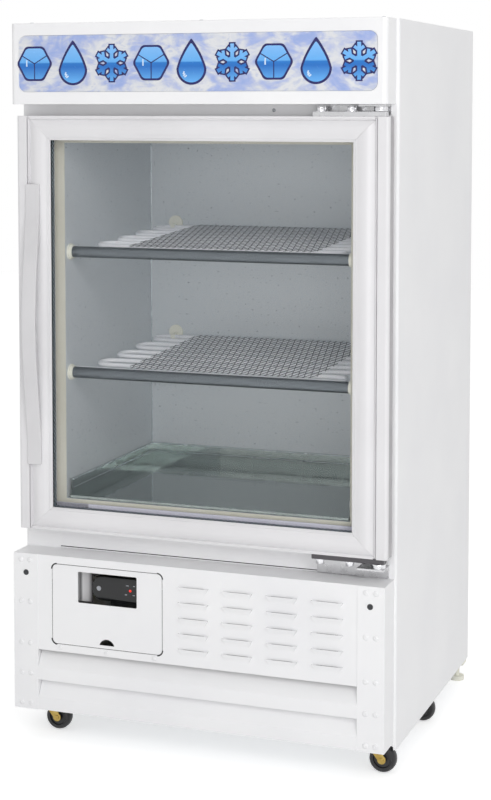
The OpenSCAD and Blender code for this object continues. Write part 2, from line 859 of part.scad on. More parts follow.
// Upright moulding on the right: outer edge on mould_x
module side_mould()
    translate([mould_x, frame_back_y, 0]) mirror([0, 1, 0])
        translate([0, 0, mould_z0]) linear_extrude(height = mould_z1 - mould_z0)
            mould_section(side_mould_w);

// Mitre prism of the right-hand side
module side_mitre()
    face_plate([door_y - 1, 1])
        polygon([[mould_x + 1, mould_z0], [mould_x + 1, mould_z1], [mould_x, mould_z1],
                 [sight_x, sight_z1], [sight_x, sight_z0], [mould_x, mould_z0]]);

// Right-hand stile: plain rail with a rounded corner, groove and rounded moulding
module stile() {
    difference() {
        union() {
            translate([0, 0, door_z]) linear_extrude(height = door_h) {
                translate([mould_x - seam, door_y + groove_depth])
                    square([groove_w + 2 * seam, frame_depth - groove_depth]);
                translate([door_half - side_rail_w, door_y])
                    square([side_rail_w - door_corner_r, frame_depth]);
                translate([door_half - side_rail_w, door_y + door_corner_r])
                    square([side_rail_w, frame_depth - door_corner_r]);
                translate([door_half - door_corner_r, door_y + door_corner_r])
                    fold(door_corner_r, door_corner_r, 1, -1);
            }
            intersection() {
                side_mould();
                side_mitre();
            }
        }
        bush_pockets();
    }
}

// Holes in the door's ends for the hinge bushes
module bush_pockets() {
    rod_z(hinge_x, hinge_y, [door_z - 1, door_z + bush_depth], bush_r);
    rod_z(hinge_x, hinge_y, [door_top - bush_depth, door_top + 1], bush_r);
}

module door_stile_right() color("white") place() stile();

module door_stile_left() color("white") place() mirror([1, 0, 0]) stile();

// Plain rim and mitred moulding along the door's top
module door_rail_top() {
    color("white") place() difference() {
        union() {
            slab([-rail_x, rail_x], [door_y + rim_set, frame_back_y], [mould_z1, door_top]);
            slab([seam - rail_x, rail_x - seam], [door_y + groove_depth, frame_back_y],
                 [mould_z1 - seam, door_top]);
            intersection() {
                translate([-mould_x, frame_back_y, mould_z1]) rotate([90, 0, 90])
                    linear_extrude(height = 2 * mould_x) rotate([0, 0, 90])
                        mould_section(top_mould_w);
                face_plate([door_y - 1, 1])
                    polygon([[-rail_x, mould_z1], [rail_x, mould_z1], [sight_x, sight_z1],
                             [-sight_x, sight_z1]]);
            }
        }
        bush_pockets();
    }
}

module door_rail_bottom() {
    color("white") place() difference() {
        union() {
            slab([-rail_x, rail_x], [door_y + rim_set, frame_back_y], [door_z, mould_z0]);
            slab([seam - rail_x, rail_x - seam], [door_y + groove_depth, frame_back_y],
                 [door_z, mould_z0 + seam]);
            intersection() {
                translate([-mould_x, frame_back_y, mould_z0]) rotate([90, 0, 90])
                    linear_extrude(height = 2 * mould_x) mirror([0, 1, 0]) rotate([0, 0, 90])
                        mould_section(bottom_mould_w);
                face_plate([door_y - 1, 1])
                    polygon([[-rail_x, mould_z0], [rail_x, mould_z0], [sight_x, sight_z0],
                             [-sight_x, sight_z0]]);
            }
        }
        bush_pockets();
    }
}

module pane(y)
    slab([-glass_x + slip, glass_x - slip], [y, y + glass_t], [glass_z0 + slip, glass_z1 - slip]);

module glass_outer() color("lightcyan", 0.35) place() pane(outer_glass_y);

module glass_inner() color("lightcyan", 0.35) place() pane(inner_glass_y);

// Aluminium spacer between the panes
module spacer_bar() {
    lip = 0.5;
    color("#3a3c3e") place() difference() {
        slab([-glass_x + 4, glass_x - 4], [outer_glass_y + glass_t, inner_glass_y],
             [glass_z0 + 4, glass_z1 - 4]);
        slab([lip - sight_x, sight_x - lip], [outer_glass_y - 1, inner_glass_y + 10],
             [sight_z0 + lip, sight_z1 - lip]);
    }
}

// Ring between two rectangles, given by half width, low and high edge
module ring(outer, inner, y)
    difference() {
        slab([-outer[0], outer[0]], y, [outer[1], outer[2]]);
        slab([-inner[0], inner[0]], [y[0] - 1, y[1] + 1], [inner[1], inner[2]]);
    }

// Grey gasket: its holder fills the back of the frame, the magnet strip stands behind it
module gasket() {
    edge = 0.5;
    mag_x = door_half - gasket_inset;
    recess = 2;
    sill = 5;
    outline = [door_half - edge, door_z + edge, door_top - edge];
    color("darkgray") place() difference() {
        union() {
            ring(outline, [glass_x, glass_z0, glass_z1], [frame_back_y, glass_back_y]);
            ring(outline, [sight_x + recess, sight_z0 + sill, sight_z1 + recess],
                 [glass_back_y, carrier_back_y]);
            ring([mag_x, door_z + gasket_inset_z, door_top - gasket_inset_z],
                 [mag_x - gasket_w, door_z + gasket_inset_z + gasket_w,
                  door_top - gasket_inset_z - gasket_w], [carrier_back_y - 1, gasket_back_y]);
        }
        bush_pockets();
    }
}

handle_z = door_z + handle_lift;

// Distance of the strap's back face from the door at height z above the handle's lower end
function bow_at(z) = let (span = handle_h - 2 * handle_pad_h, s = (z - handle_pad_h) / span)
    s <= 0 || s >= 1 ? 0 : handle_bow * (1 - cos(360 * s)) / 2 * 0.35
        + handle_bow * 0.65 * sin(180 * s);

BOW_STEPS = 22;

// Bow handle: one strap, flat at both ends
module handle() {
    zs = concat([0], [for (i = [0 : BOW_STEPS])
        handle_pad_h + i * (handle_h - 2 * handle_pad_h) / BOW_STEPS], [handle_h]);
    back = [for (z = zs) [door_y - bow_at(z), handle_z + z]];
    front = [for (i = [len(zs) - 1 : -1 : 0])
        [door_y - handle_t - bow_at(zs[i]), handle_z + zs[i]]];
    x = handle_inset - door_half;
    groove_x = side_rail_w + groove_w / 2 - door_half;
    color("gainsboro") place() {
        along_x([x - handle_w / 2, x + handle_w / 2]) polygon(concat(back, front));
        // studs through the pads into the door's groove
        for (z = [handle_pad_h / 2, handle_h - handle_pad_h / 2])
            rod_y(groove_x, [door_y - handle_t / 2, door_y + groove_depth], handle_z + z,
                  groove_w / 2 - slip);
    }
}

// ---- control hatch -------------------------------------------------------

module control_hatch() {
    half = hatch_w / 2;
    ear_t = 3;
    ear_gap = 1;
    axis_z = hatch_z1 - hatch_axis_drop;
    axis_y = hatch_pin_y;
    color("whitesmoke") place() {
        difference() {
            face_plate([panel_y, panel_y + sheet_t])
                round_rect([hatch_cx - half, hatch_cx + half], [hatch_z0, hatch_z1], 7);
            face_plate([panel_y - 5, panel_y + 5])
                round_rect([window_cx - window_w / 2, window_cx + window_w / 2],
                           [window_z - window_h / 2, window_z + window_h / 2], 2);
            intersection() {
                rod_y(hatch_cx, [panel_y - 5, panel_y + 5], hatch_z0 + 1, notch_r);
                slab([hatch_cx - 20, hatch_cx + 20], [panel_y - 6, panel_y + 6],
                     [hatch_z0 + 4.5, hatch_z0 + 40]);
            }
        }
        for (x = [hatch_cx - half + ear_gap, hatch_cx + half - ear_gap - ear_t])
            difference() {
                slab([x, x + ear_t], [panel_y + sheet_t / 2, axis_y + 3.5],
                     [axis_z - 3.5, axis_z + 3.5]);
                rod_x([x - 1, x + ear_t + 1], axis_y, axis_z, hatch_pin_r + run_fit);
            }
    }
}

module controller_face() {
    corner_r = 8;
    color("#151617") place()
        face_plate([controller_y, controller_y + face_t])
            round_rect([controller_cx - controller_w / 2, controller_cx + controller_w / 2],
                       [controller_cz - controller_h / 2, controller_cz + controller_h / 2],
                       corner_r);
}

// Controller housing on its bracket, which stands on the base pan
module controller_case() {
    case_d = 55;
    post_half = 30;
    post_y = 40;
    foot_d = 22;
    y = controller_y + face_t;
    color("dimgray") place() {
        slab([controller_cx - controller_w / 2 + face_lip, controller_cx + controller_w / 2 - face_lip],
             [y, y + case_d],
             [controller_cz - controller_h / 2 + face_lip, controller_cz + controller_h / 2 - face_lip]);
        slab([controller_cx - post_half, controller_cx + post_half], [y + post_y, y + post_y + 2],
             [pan_top, controller_cz]);
        slab([controller_cx - post_half, controller_cx + post_half],
             [y + post_y - foot_d / 2, y + post_y + foot_d / 2], [pan_top, pan_top + 2]);
    }
}

// ---- cold space ----------------------------------------------------------

module shelf_bars() {
    color("silver") place() for (z = shelf_z)
        rod_x([-liner_x + 2, liner_x - 2], bar_y, z, bar_r);
}

// White flanged end caps of the bars, on the liner's side walls
module bar_caps() {
    flange_t = 2;
    sleeve_t = 6;
    color("white") place() for (z = shelf_z) both_sides() difference() {
        union() {
            rod_x([liner_x - flange_t, liner_x], bar_y, z, bar_r + 3.5);
            rod_x([liner_x - sleeve_t, liner_x], bar_y, z, bar_r + 1.5);
        }
        rod_x([liner_x - 20, liner_x - 2], bar_y, z, bar_r);
        rod_x([liner_x - 20, liner_x + 1], first_run_y, z + tube_lift, tube_r);
    }
}

// Half a turn of tube joining two runs; side +1 bulges to +X
module tube_bend(y, side)
    translate([side * bend_x, y + tube_pitch / 2, 0]) rotate([0, 0, side > 0 ? -90 : 90])
        rotate_extrude(angle = 180) translate([tube_pitch / 2, 0]) circle(tube_r);

// Places what lies on a shelf's sloping tubes: y = 0 and z = 0 at the middle of the first run
module on_slope(bar_z)
    translate([0, first_run_y, bar_z + tube_lift]) rotate([shelf_slope, 0, 0]) children();

// Serpentine tube shelf: runs along X joined by half turns. The first run comes in through
// the left wall and the last one goes out through the right wall
module coil() {
    for (i = [0 : tube_runs - 1]) {
        y = i * tube_pitch;
        left = i == 0 ? liner_x : bend_x;
        right = i == tube_runs - 1 ? liner_x : bend_x;
        rod_x([-left, right], y, 0, tube_r);
        if (i < tube_runs - 1) tube_bend(y, i % 2 == 0 ? 1 : -1);
    }
}

module evaporator_coils() {
    color("white") place() for (z = shelf_z) on_slope(z) coil();
}

// Wall clips: a round base on the back wall and an arm that hooks under the coil's last run
module coil_clips() {
    base_t = 3;
    base_r = 11.5;
    base_rise = 6;
    arm_half = 3;
    arm_t = 3;
    tip_t = 2;
    color("white") place() for (z = shelf_z) both_sides() {
        tube_z = z + last_run_lift;
        top = tube_z + tube_r;
        seat = tube_z - tube_r;
        rod_y(clip_x, [liner_y - base_t, liner_y], tube_z + base_rise, base_r);
        along_x([clip_x - arm_half, clip_x + arm_half])
            polygon([[liner_y - 1, seat - arm_t], [liner_y - 1, top + arm_t],
                     [liner_y - base_t, top + arm_t], [last_run_y + tube_r, top],
                     [last_run_y + tube_r, seat], [last_run_y - tube_r, seat],
                     [last_run_y - tube_r, top + 1], [last_run_y - tube_r - tip_t, top + 1],
                     [last_run_y - tube_r - tip_t, seat - arm_t]]);
    }
}

module mat(i) {
    front = bar_y + bar_r + mat_gap - first_run_y;
    back = (liner_y - mat_back_gap - first_run_y) / cos(shelf_slope);
    under = tube_r + slip;
    color("dimgray") place() on_slope(shelf_z[i])
        slab([mat_x - mat_w / 2, mat_x + mat_w / 2], [front, back], [under, under + mat_t]);
}

module mesh_mat_lower() mat(0);

module mesh_mat_upper() mat(1);

// Stainless tray that lies loose on the liner's floor
module bottom_tray() {
    t = 1;
    gap = 3;
    lip = 2.5;
    x = liner_x - gap;
    y = [gap, liner_y - gap];
    z = opening_z0 + slip;
    color("silver") place() {
        difference() {
            slab([-x, x], y, [z, z + tray_h]);
            slab([-x + t, x - t], [y[0] + t, y[1] - t], [z + t, z + tray_h + 1]);
            slab([-x - 1, x + 1], [y[0] - 1, y[0] + 6], [z + 4, z + tray_h + 1]);
        }
        both_sides() slab([x - t, x + lip], [y[0] + 6, y[1]], [z + tray_h - t, z + tray_h]);
        slab([-x, x], [y[1] - t, y[1] + lip], [z + tray_h - t, z + tray_h]);
    }
}

// ---- refrigeration -------------------------------------------------------

line_r = 4;
line_low_z = pan_top + compressor_h - 20;

// Lines in the walls: the left one joins the two shelves' first runs, and the right one
// takes their last runs down to the compressor
module line_shapes() {
    for (z = shelf_z) {
        rod_x([-line_x, -liner_x], first_run_y, z + tube_lift, line_r);
        translate([-line_x, first_run_y, z + tube_lift]) sphere(line_r);
        rod_x([liner_x, line_x], last_run_y, z + last_run_lift, line_r);
        translate([line_x, last_run_y, z + last_run_lift]) sphere(line_r);
    }
    rod_z(-line_x, first_run_y, [shelf_z[0] + tube_lift, shelf_z[1] + tube_lift], line_r);
    rod_z(line_x, last_run_y, [line_low_z, shelf_z[1] + last_run_lift], line_r);
    translate([line_x, last_run_y, line_low_z]) sphere(line_r);
    rod_x([compressor_x, line_x], last_run_y, line_low_z, line_r);
    // the thin line from the pot rises and runs forward to the condenser's top row
    for (z = [discharge_z, top_row_z])
        translate([discharge_x, compressor_y, z]) sphere(thin_r);
    rod_x([compressor_x, discharge_x], compressor_y, discharge_z, thin_r);
    rod_z(discharge_x, compressor_y, [discharge_z, top_row_z], thin_r);
    rod_y(discharge_x, [condenser_mid_y, compressor_y], top_row_z, thin_r);
    translate([discharge_x, condenser_mid_y, top_row_z]) sphere(thin_r);
    rod_x([fan_x + condenser_w / 2, discharge_x], condenser_mid_y, top_row_z, thin_r);
}

thin_r = line_r - 1;
tube_rows = 5;
row_pitch = condenser_h / tube_rows;
discharge_z = pan_top + 40;
top_row_z = pan_top + (tube_rows - 0.5) * row_pitch;
condenser_mid_y = condenser_y + condenser_d / 2;

discharge_x = max(fan_x + condenser_w / 2 + 10, compressor_x + compressor_r + 10);

module refrigerant_lines() {
    color("peru") place() difference() {
        line_shapes();
        slab([-liner_x - liner_t, liner_x + liner_t], [-10, body_d], [opening_z0, opening_z1]);
        compressor_pot();
    }
}

module drain_tube() {
    color("white") place() difference() {
        rod_z(0, drain_y, [kick_top - 60, opening_z0 - liner_t], drain_r);
        rod_z(0, drain_y, [kick_top - 70, opening_z0], drain_r - 2);
    }
}

// Welded pot with a domed lid
module compressor_pot() {
    dome_h = 30;
    translate([compressor_x, compressor_y, pan_top + 14]) rotate_extrude()
        intersection() {
            union() {
                square([compressor_r, compressor_h - dome_h]);
                translate([0, compressor_h - dome_h])
                    intersection() {
                        translate([0, -compressor_r]) circle(compressor_r * 1.4142);
                        square([compressor_r, dome_h]);
                    }
            }
            square([compressor_r, compressor_h]);
        }
}

module compressor() {
    foot = compressor_r + 8;
    color("#222222") place() {
        compressor_pot();
        slab([compressor_x - foot, compressor_x + foot], [compressor_y - 45, compressor_y + 45],
             [pan_top + 11, pan_top + 15]);
        for (x = [-1, 1], y = [-1, 1])
            rod_z(compressor_x + x * (foot - 10), compressor_y + y * 35,
                  [pan_top, pan_top + 11.5], 9);
    }
}

// Fin block with its tube bends at both ends
module condenser() {
    color("silver") place() {
        slab([fan_x - condenser_w / 2, fan_x + condenser_w / 2],
             [condenser_y, condenser_y + condenser_d], [pan_top, pan_top + condenser_h]);
        for (side = [-1, 1], i = [0 : tube_rows - 2])
            if ((i % 2 == 0) == (side > 0))
                translate([fan_x + side * condenser_w / 2, condenser_mid_y,
                           pan_top + (i + 1) * row_pitch]) rotate([90, 0, 0])
                    rotate([0, 0, side > 0 ? -90 : 90])
                        rotate_extrude(angle = 180) translate([row_pitch / 2, 0]) circle(thin_r);
    }
}

// Plate with the fan's ring
module fan_shroud() {
    ring_d = 20;
    r = fan_r + 4;
    color("black") place() difference() {
        union() {
            slab([fan_x - condenser_w / 2, fan_x + condenser_w / 2], [shroud_y - 1, shroud_y + 2],
                 [pan_top, pan_top + condenser_h]);
            rod_y(fan_x, [shroud_y, shroud_y + ring_d], fan_z, r + 2);
        }
        rod_y(fan_x, [shroud_y - 5, shroud_y + ring_d + 5], fan_z, r);
    }
}

shaft_r = 3;
motor_r = 22;
motor_len = 42;
motor_gap = 2;
hub_y = shroud_y + 2 * motor_gap;
hub_len = 14;

module fan_motor() {
    y = hub_y + hub_len + motor_gap;
    post_half = motor_r * 0.64;
    color("dimgray") place() {
        rod_y(fan_x, [y, y + motor_len], fan_z, motor_r);
        rod_y(fan_x, [hub_y + motor_gap, y + 1], fan_z, shaft_r);
        slab([fan_x - post_half, fan_x + post_half],
             [y + motor_len / 2, y + motor_len / 2 + bracket_t], [pan_top, fan_z]);
        slab([fan_x - post_half, fan_x + post_half], [y, y + motor_len],
             [pan_top, pan_top + bracket_t]);
    }
}

// Hub with five pitched blades
module fan_blade() {
    blades = 5;
    hub_r = 12;
    blade_half = 10;
    blade_t = 2;
    pitch_angle = 32;
    color("gray") place() translate([fan_x, hub_y, fan_z]) difference() {
        union() {
            rod_y(0, [0, hub_len], 0, hub_r);
            for (i = [0 : blades - 1])
                rotate([0, i * 360 / blades, 0]) translate([hub_r - blade_t, hub_len / 2, 0])
                    rotate([pitch_angle, 0, 0])
                        slab([0, fan_r - hub_r], [-blade_t / 2, blade_t / 2],
                             [-blade_half, blade_half]);
        }
        rod_y(0, [-1, hub_len + 1], 0, shaft_r + run_fit);
    }
}

// Open tray under the drain, where the melt water dries off
module condensate_pan() {
    w = 130;
    d = 110;
    h = 30;
    t = 1.5;
    color("#2b2b2b") place() difference() {
        slab([-w / 2 - 40, w / 2 - 40], [drain_y - d / 2, drain_y + d / 2],
             [pan_top, pan_top + h]);
        slab([-w / 2 - 40 + t, w / 2 - 40 - t], [drain_y - d / 2 + t, drain_y + d / 2 - t],
             [pan_top + t, pan_top + h + 1]);
    }
}

// Gland that holds the cord where it leaves the back
module cord_gland() {
    color("black") place() {
        rod_y(-half_w + 90, [body_d, body_d + gland_proud], pan_top + 26, gland_r);
        rod_y(-half_w + 90, [body_d - 12, body_d], pan_top + 26, gland_r - 3);
    }
}

// ---- drawing -------------------------------------------------------------

side_panel_left();
side_panel_right();
top_panel();
rear_panel();
rear_grille();
insulation();
liner();
breaker_strip();
front_bands();
header_shell();
sign_panel();
sign_lamp();
corner_posts();
vent_panel();
kick_slats();
rivets();
screws();
hole_plugs();
base_pan();
rear_feet();
caster_plates();
hinge_bracket_upper();
hinge_bracket_lower();
shelf_bars();
bar_caps();
evaporator_coils();
coil_clips();
refrigerant_lines();
drain_tube();
compressor();
condenser();
fan_shroud();
fan_motor();
fan_blade();
condensate_pan();
controller_case();
controller_face();
cord_gland();
door_stile_left();
door_stile_right();
door_rail_top();
door_rail_bottom();
glass_outer();
glass_inner();
spacer_bar();
gasket();
handle();
door_hinge_plates();
control_hatch();
bottom_tray();
mesh_mat_upper();
mesh_mat_lower();
fork_front_left();
fork_front_right();
fork_back_left();
fork_back_right();
wheel_front_left();
wheel_front_right();
wheel_back_left();
wheel_back_right();
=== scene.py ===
import bmesh
import bpy
import json
import math
from mathutils import Matrix, Vector

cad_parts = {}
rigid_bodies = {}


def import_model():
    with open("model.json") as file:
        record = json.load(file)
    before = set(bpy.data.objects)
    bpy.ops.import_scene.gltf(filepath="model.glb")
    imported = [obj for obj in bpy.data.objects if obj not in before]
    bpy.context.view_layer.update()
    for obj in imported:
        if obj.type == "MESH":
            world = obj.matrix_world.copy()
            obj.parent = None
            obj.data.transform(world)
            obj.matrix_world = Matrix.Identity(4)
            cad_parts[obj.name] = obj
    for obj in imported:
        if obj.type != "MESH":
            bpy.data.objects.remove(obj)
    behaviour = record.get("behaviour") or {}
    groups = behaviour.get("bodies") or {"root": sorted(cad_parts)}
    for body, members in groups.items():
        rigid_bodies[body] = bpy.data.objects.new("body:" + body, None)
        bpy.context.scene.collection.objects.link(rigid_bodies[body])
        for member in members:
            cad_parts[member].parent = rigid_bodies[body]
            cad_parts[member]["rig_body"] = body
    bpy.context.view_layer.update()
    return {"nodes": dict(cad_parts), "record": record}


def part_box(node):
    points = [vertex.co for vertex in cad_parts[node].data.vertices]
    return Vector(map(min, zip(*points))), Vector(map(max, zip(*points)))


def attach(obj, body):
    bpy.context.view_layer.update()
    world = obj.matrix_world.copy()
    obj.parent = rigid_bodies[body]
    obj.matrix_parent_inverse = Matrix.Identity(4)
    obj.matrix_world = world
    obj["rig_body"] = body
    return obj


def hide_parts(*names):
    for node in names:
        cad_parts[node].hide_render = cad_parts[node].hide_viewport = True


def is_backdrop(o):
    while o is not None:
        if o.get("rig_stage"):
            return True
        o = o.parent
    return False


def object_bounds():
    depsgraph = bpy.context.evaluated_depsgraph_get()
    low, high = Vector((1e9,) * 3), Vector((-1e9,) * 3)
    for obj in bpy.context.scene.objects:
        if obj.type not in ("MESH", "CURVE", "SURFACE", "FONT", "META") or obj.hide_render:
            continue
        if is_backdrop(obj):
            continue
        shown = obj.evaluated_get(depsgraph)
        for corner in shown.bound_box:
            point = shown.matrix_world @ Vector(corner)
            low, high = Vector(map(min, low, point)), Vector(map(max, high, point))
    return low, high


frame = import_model()

# Camera: it stands to the right of the freezer, a little below its top. The lens is long, and
# the view is partly tilted and partly shifted down to the casters.
front_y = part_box("side_panel_left")[0].y
eye_right, eye_ahead, eye_up = 0.8842, 2.246, 0.9007
tilt_down, turn_left = 3.804, 20.126
camera_data = bpy.data.cameras.new("camera")
camera = bpy.data.objects.new("camera", camera_data)
bpy.context.scene.collection.objects.link(camera)
bpy.context.scene.camera = camera
camera.location = (eye_right, front_y - eye_ahead, eye_up)
camera.rotation_euler = (math.radians(90 - tilt_down), 0, math.radians(turn_left))
camera_data.lens = 78.895
camera_data.shift_y = -0.22
bpy.context.scene.view_settings.view_transform = "Standard"


# Room: a white room lit softly from all sides, which the camera, metal and glass see as plain
# white. The Light Path node keeps that white apart from the weaker light on the freezer.
def seen_by_eye(nodes, links):
    """One for rays from the camera, from gloss or through glass, otherwise zero."""
    rays = nodes.new("ShaderNodeLightPath")
    total = rays.outputs["Is Camera Ray"]
    for kind in ("Is Glossy Ray", "Is Transmission Ray"):
        either = nodes.new("ShaderNodeMath")
        either.operation = "MAXIMUM"
        links.new(total, either.inputs[0])
        links.new(rays.outputs[kind], either.inputs[1])
        total = either.outputs[0]
    return total


world = bpy.data.worlds.new("room")
bpy.context.scene.world = world
world.use_nodes = True
room_nodes, room_links = world.node_tree.nodes, world.node_tree.links
room_light = room_nodes["Background"]
room_light.inputs["Color"].default_value = (1, 1, 1, 1)
room_glow, room_white = 0.56, 1.0
level = room_nodes.new("ShaderNodeMapRange")
level.inputs["To Min"].default_value = room_glow
level.inputs["To Max"].default_value = room_white
room_links.new(seen_by_eye(room_nodes, room_links), level.inputs["Value"])
room_links.new(level.outputs["Result"], room_light.inputs["Strength"])


def softbox(name, place, aim, size, power):
    """Square area lamp that faces a point."""
    data = bpy.data.lights.new(name, "AREA")
    data.size = size
    data.energy = power
    lamp = bpy.data.objects.new(name, data)
    lamp.location = place
    lamp.rotation_euler = (Vector(aim) - Vector(place)).to_track_quat("-Z", "Y").to_euler()
    bpy.context.scene.collection.objects.link(lamp)


door_centre, side_centre = (0, 0, 0.6), (0, 0, 0.5)
softbox("key_light", (2.1, -2.7, 2.1), door_centre, 1.4, 30)
softbox("front_light", (1.0, -3.2, 0.6), door_centre, 1.4, 21)
softbox("side_light", (3.0, -0.5, 1.4), side_centre, 1.8, 2)


# Painted sheet steel: the cabinet's sides are each one sheet folded round the front and back
# edges, under a flat top and a flat back. White powder coat with a faint orange-peel surface.
def tone(code):
    """Linear colour from a six-digit screen colour."""
    parts = [int(code[i:i + 2], 16) / 255 for i in (0, 2, 4)]
    return [p / 12.92 if p <= 0.04045 else ((p + 0.055) / 1.055) ** 2.4 for p in parts]


def finish(name, code, roughness, metallic=0.0):
    """Material with one colour, ready for its patterns."""
    made = bpy.data.materials.new(name)
    made.use_nodes = True
    shader = made.node_tree.nodes["Principled BSDF"]
    shader.inputs["Base Color"].default_value = (*tone(code), 1)
    shader.inputs["Roughness"].default_value = roughness
    shader.inputs["Metallic"].default_value = metallic
    return made


def speckle(made, scale, stretch=(1, 1, 1), detail=3.0):
    """Noise in object coordinates, stretched along the axes."""
    nodes, links = made.node_tree.nodes, made.node_tree.links
    place = nodes.new("ShaderNodeTexCoord")
    mapping = nodes.new("ShaderNodeMapping")
    mapping.inputs["Scale"].default_value = stretch
    noise = nodes.new("ShaderNodeTexNoise")
    noise.inputs["Scale"].default_value = scale
    noise.inputs["Detail"].default_value = detail
    links.new(place.outputs["Object"], mapping.inputs["Vector"])
    links.new(mapping.outputs["Vector"], noise.inputs["Vector"])
    return noise.outputs["Fac"]


def tint(made, pattern, codes, start=0.3, end=0.7, stops=None):
    """Lets a pattern run the base colour through a list of colours."""
    last = len(codes) - 1
    places = stops or [start + (end - start) * i / last for i in range(last + 1)]
    ramp = made.node_tree.nodes.new("ShaderNodeValToRGB")
    marks = ramp.color_ramp.elements
    while len(marks) < len(codes):
        marks.new(0.5)
    for mark, place, code in zip(marks, places, codes):
        mark.position = place
        mark.color = (*tone(code), 1)
    shader = made.node_tree.nodes["Principled BSDF"]
    made.node_tree.links.new(pattern, ramp.inputs["Fac"])
    made.node_tree.links.new(ramp.outputs["Color"], shader.inputs["Base Color"])


def polish(made, pattern, low, high):
    """Lets a pattern move the roughness between two values."""
    ramp = made.node_tree.nodes.new("ShaderNodeMapRange")
    ramp.inputs["From Min"].default_value = 0.3
    ramp.inputs["From Max"].default_value = 0.7
    ramp.inputs["To Min"].default_value = low
    ramp.inputs["To Max"].default_value = high
    shader = made.node_tree.nodes["Principled BSDF"]
    made.node_tree.links.new(pattern, ramp.inputs["Value"])
    made.node_tree.links.new(ramp.outputs["Result"], shader.inputs["Roughness"])


def emboss(made, pattern, depth):
    """Lets a pattern stand proud of the surface by a depth in metres."""
    bump = made.node_tree.nodes.new("ShaderNodeBump")
    bump.inputs["Distance"].default_value = depth
    shader = made.node_tree.nodes["Principled BSDF"]
    made.node_tree.links.new(pattern, bump.inputs["Height"])
    made.node_tree.links.new(bump.outputs["Normal"], shader.inputs["Normal"])


weld = 2e-6
flat_angle = math.radians(0.4)
cut_angle = 0.6
slot_of = {part["node"]: part["material_slot"] for part in frame["record"]["subparts"]}


def dress(made, *nodes):
    """Gives solids of the frame their finish."""
    for node in nodes:
        for slot in frame["nodes"][node].material_slots:
            slot.material = made


def add(name, bm, made, body, slot, *nodes, sharp=35):
    """Turns a bmesh into a piece that rides on a body and may stand for solids of the frame."""
    mesh = bpy.data.meshes.new(name)
    bm.to_mesh(mesh)
    bm.free()
    mesh.materials.append(made)
    mesh.shade_smooth()
    mesh.set_sharp_from_angle(angle=math.radians(sharp))
    piece = bpy.data.objects.new(name, mesh)
    bpy.context.scene.collection.objects.link(piece)
    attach(piece, body)
    if nodes:
        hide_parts(*nodes)
    return piece


def soften(node, made, width, segments=2):
    """Piece with the shape of a solid of the frame and its cut edges rounded."""
    solid = frame["nodes"][node]
    bm = bmesh.new()
    bm.from_mesh(solid.data)
    bmesh.ops.remove_doubles(bm, verts=bm.verts, dist=weld)
    bmesh.ops.dissolve_limit(bm, angle_limit=flat_angle, verts=bm.verts, edges=bm.edges)
    cut = [e for e in bm.edges
           if len(e.link_faces) == 2 and abs(e.calc_face_angle_signed()) > cut_angle]
    bmesh.ops.bevel(bm, geom=cut, offset=width, segments=segments, profile=0.5, affect="EDGES",
                    clamp_overlap=False, material=-1)
    piece = add(node + "_finished", bm, made, solid["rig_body"], slot_of[node], node, sharp=20)
    even = piece.modifiers.new("even_shading", "WEIGHTED_NORMAL")
    even.keep_sharp = True
    return piece


white_coat = finish("white_powder_coat", "f1f1f3", 0.36)
tint(white_coat, speckle(white_coat, 7), ["efeff1", "f4f4f5"])
emboss(white_coat, speckle(white_coat, 1100, detail=1.0), 0.00002)
for node in ("side_panel_left", "side_panel_right", "top_panel", "rear_panel", "front_bands"):
    soften(node, white_coat, 0.0004)


# Dark strip under the lower front band: painted shade. A dark strip fills the gap above the kick
# panel, in front of the wall's foam, for the shade in that gap. A white flange of folded sheet
# lies just below it.
def block(bm, low, high):
    """Box between two corners, in metres."""
    low, high = Vector(low), Vector(high)
    bmesh.ops.create_cube(bm, matrix=Matrix.Translation((low + high) / 2)
                          @ Matrix.Diagonal((*(high - low), 1)))


kick_low, kick_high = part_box("corner_posts")
band_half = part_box("front_bands")[1].x
gap_shade_black = finish("gap_shade_black", "2b2a2b", 0.7)
tint(gap_shade_black, speckle(gap_shade_black, 90), ["242325", "333132"])
seam_front, seam_back = front_y + 0.0002, front_y + 0.0011
flange_low, flange_top, gap_shade_top = 0.0001, 0.0018, 0.0029
for name, made, slot, low_z, high_z in (
        ("band_gap_shade", gap_shade_black, "dark_plastic", flange_top, gap_shade_top),
        ("band_flange", white_coat, "white_paint", flange_low, flange_top)):
    seam = bmesh.new()
    block(seam, (-band_half, seam_front, kick_high.z + low_z),
          (band_half, seam_back, kick_high.z + high_z))
    add(name, seam, made, "cabinet", slot)

# Foam: poured rigid foam fills the walls. It shows only at its edges, where it is pale yellow
# and full of fine bubbles.
foam = finish("wall_foam", "d9c98c", 0.95)
tint(foam, speckle(foam, 60), ["cdbb7c", "e2d49c"])
emboss(foam, speckle(foam, 400), 0.0006)
dress(foam, "insulation")

# Liner: a folded aluminium tank, blue-grey and satin, with a few specks of dirt and a bright
# corner trim where its walls meet.
liner_metal = finish("liner_metal", "d6dbde", 0.4, 0.15)
tint(liner_metal, speckle(liner_metal, 260, detail=0.0),
     ["d3d9de", "d6dbdf", "d9dde0", "d5dade", "8f969c"], 0.2, 0.9)
polish(liner_metal, speckle(liner_metal, 6, (1, 1, 3)), 0.36, 0.46)
emboss(liner_metal, speckle(liner_metal, 9), 0.00006)
dress(liner_metal, "liner")


def bar(bm, start, end, radius, sides=12):
    """Round bar between two points, in metres."""
    start, end = Vector(start), Vector(end)
    turn = (end - start).to_track_quat("Z", "Y").to_matrix().to_4x4()
    bmesh.ops.create_cone(bm, cap_ends=True, segments=sides, radius1=radius, radius2=radius,
                          depth=(end - start).length,
                          matrix=Matrix.Translation((start + end) / 2) @ turn)


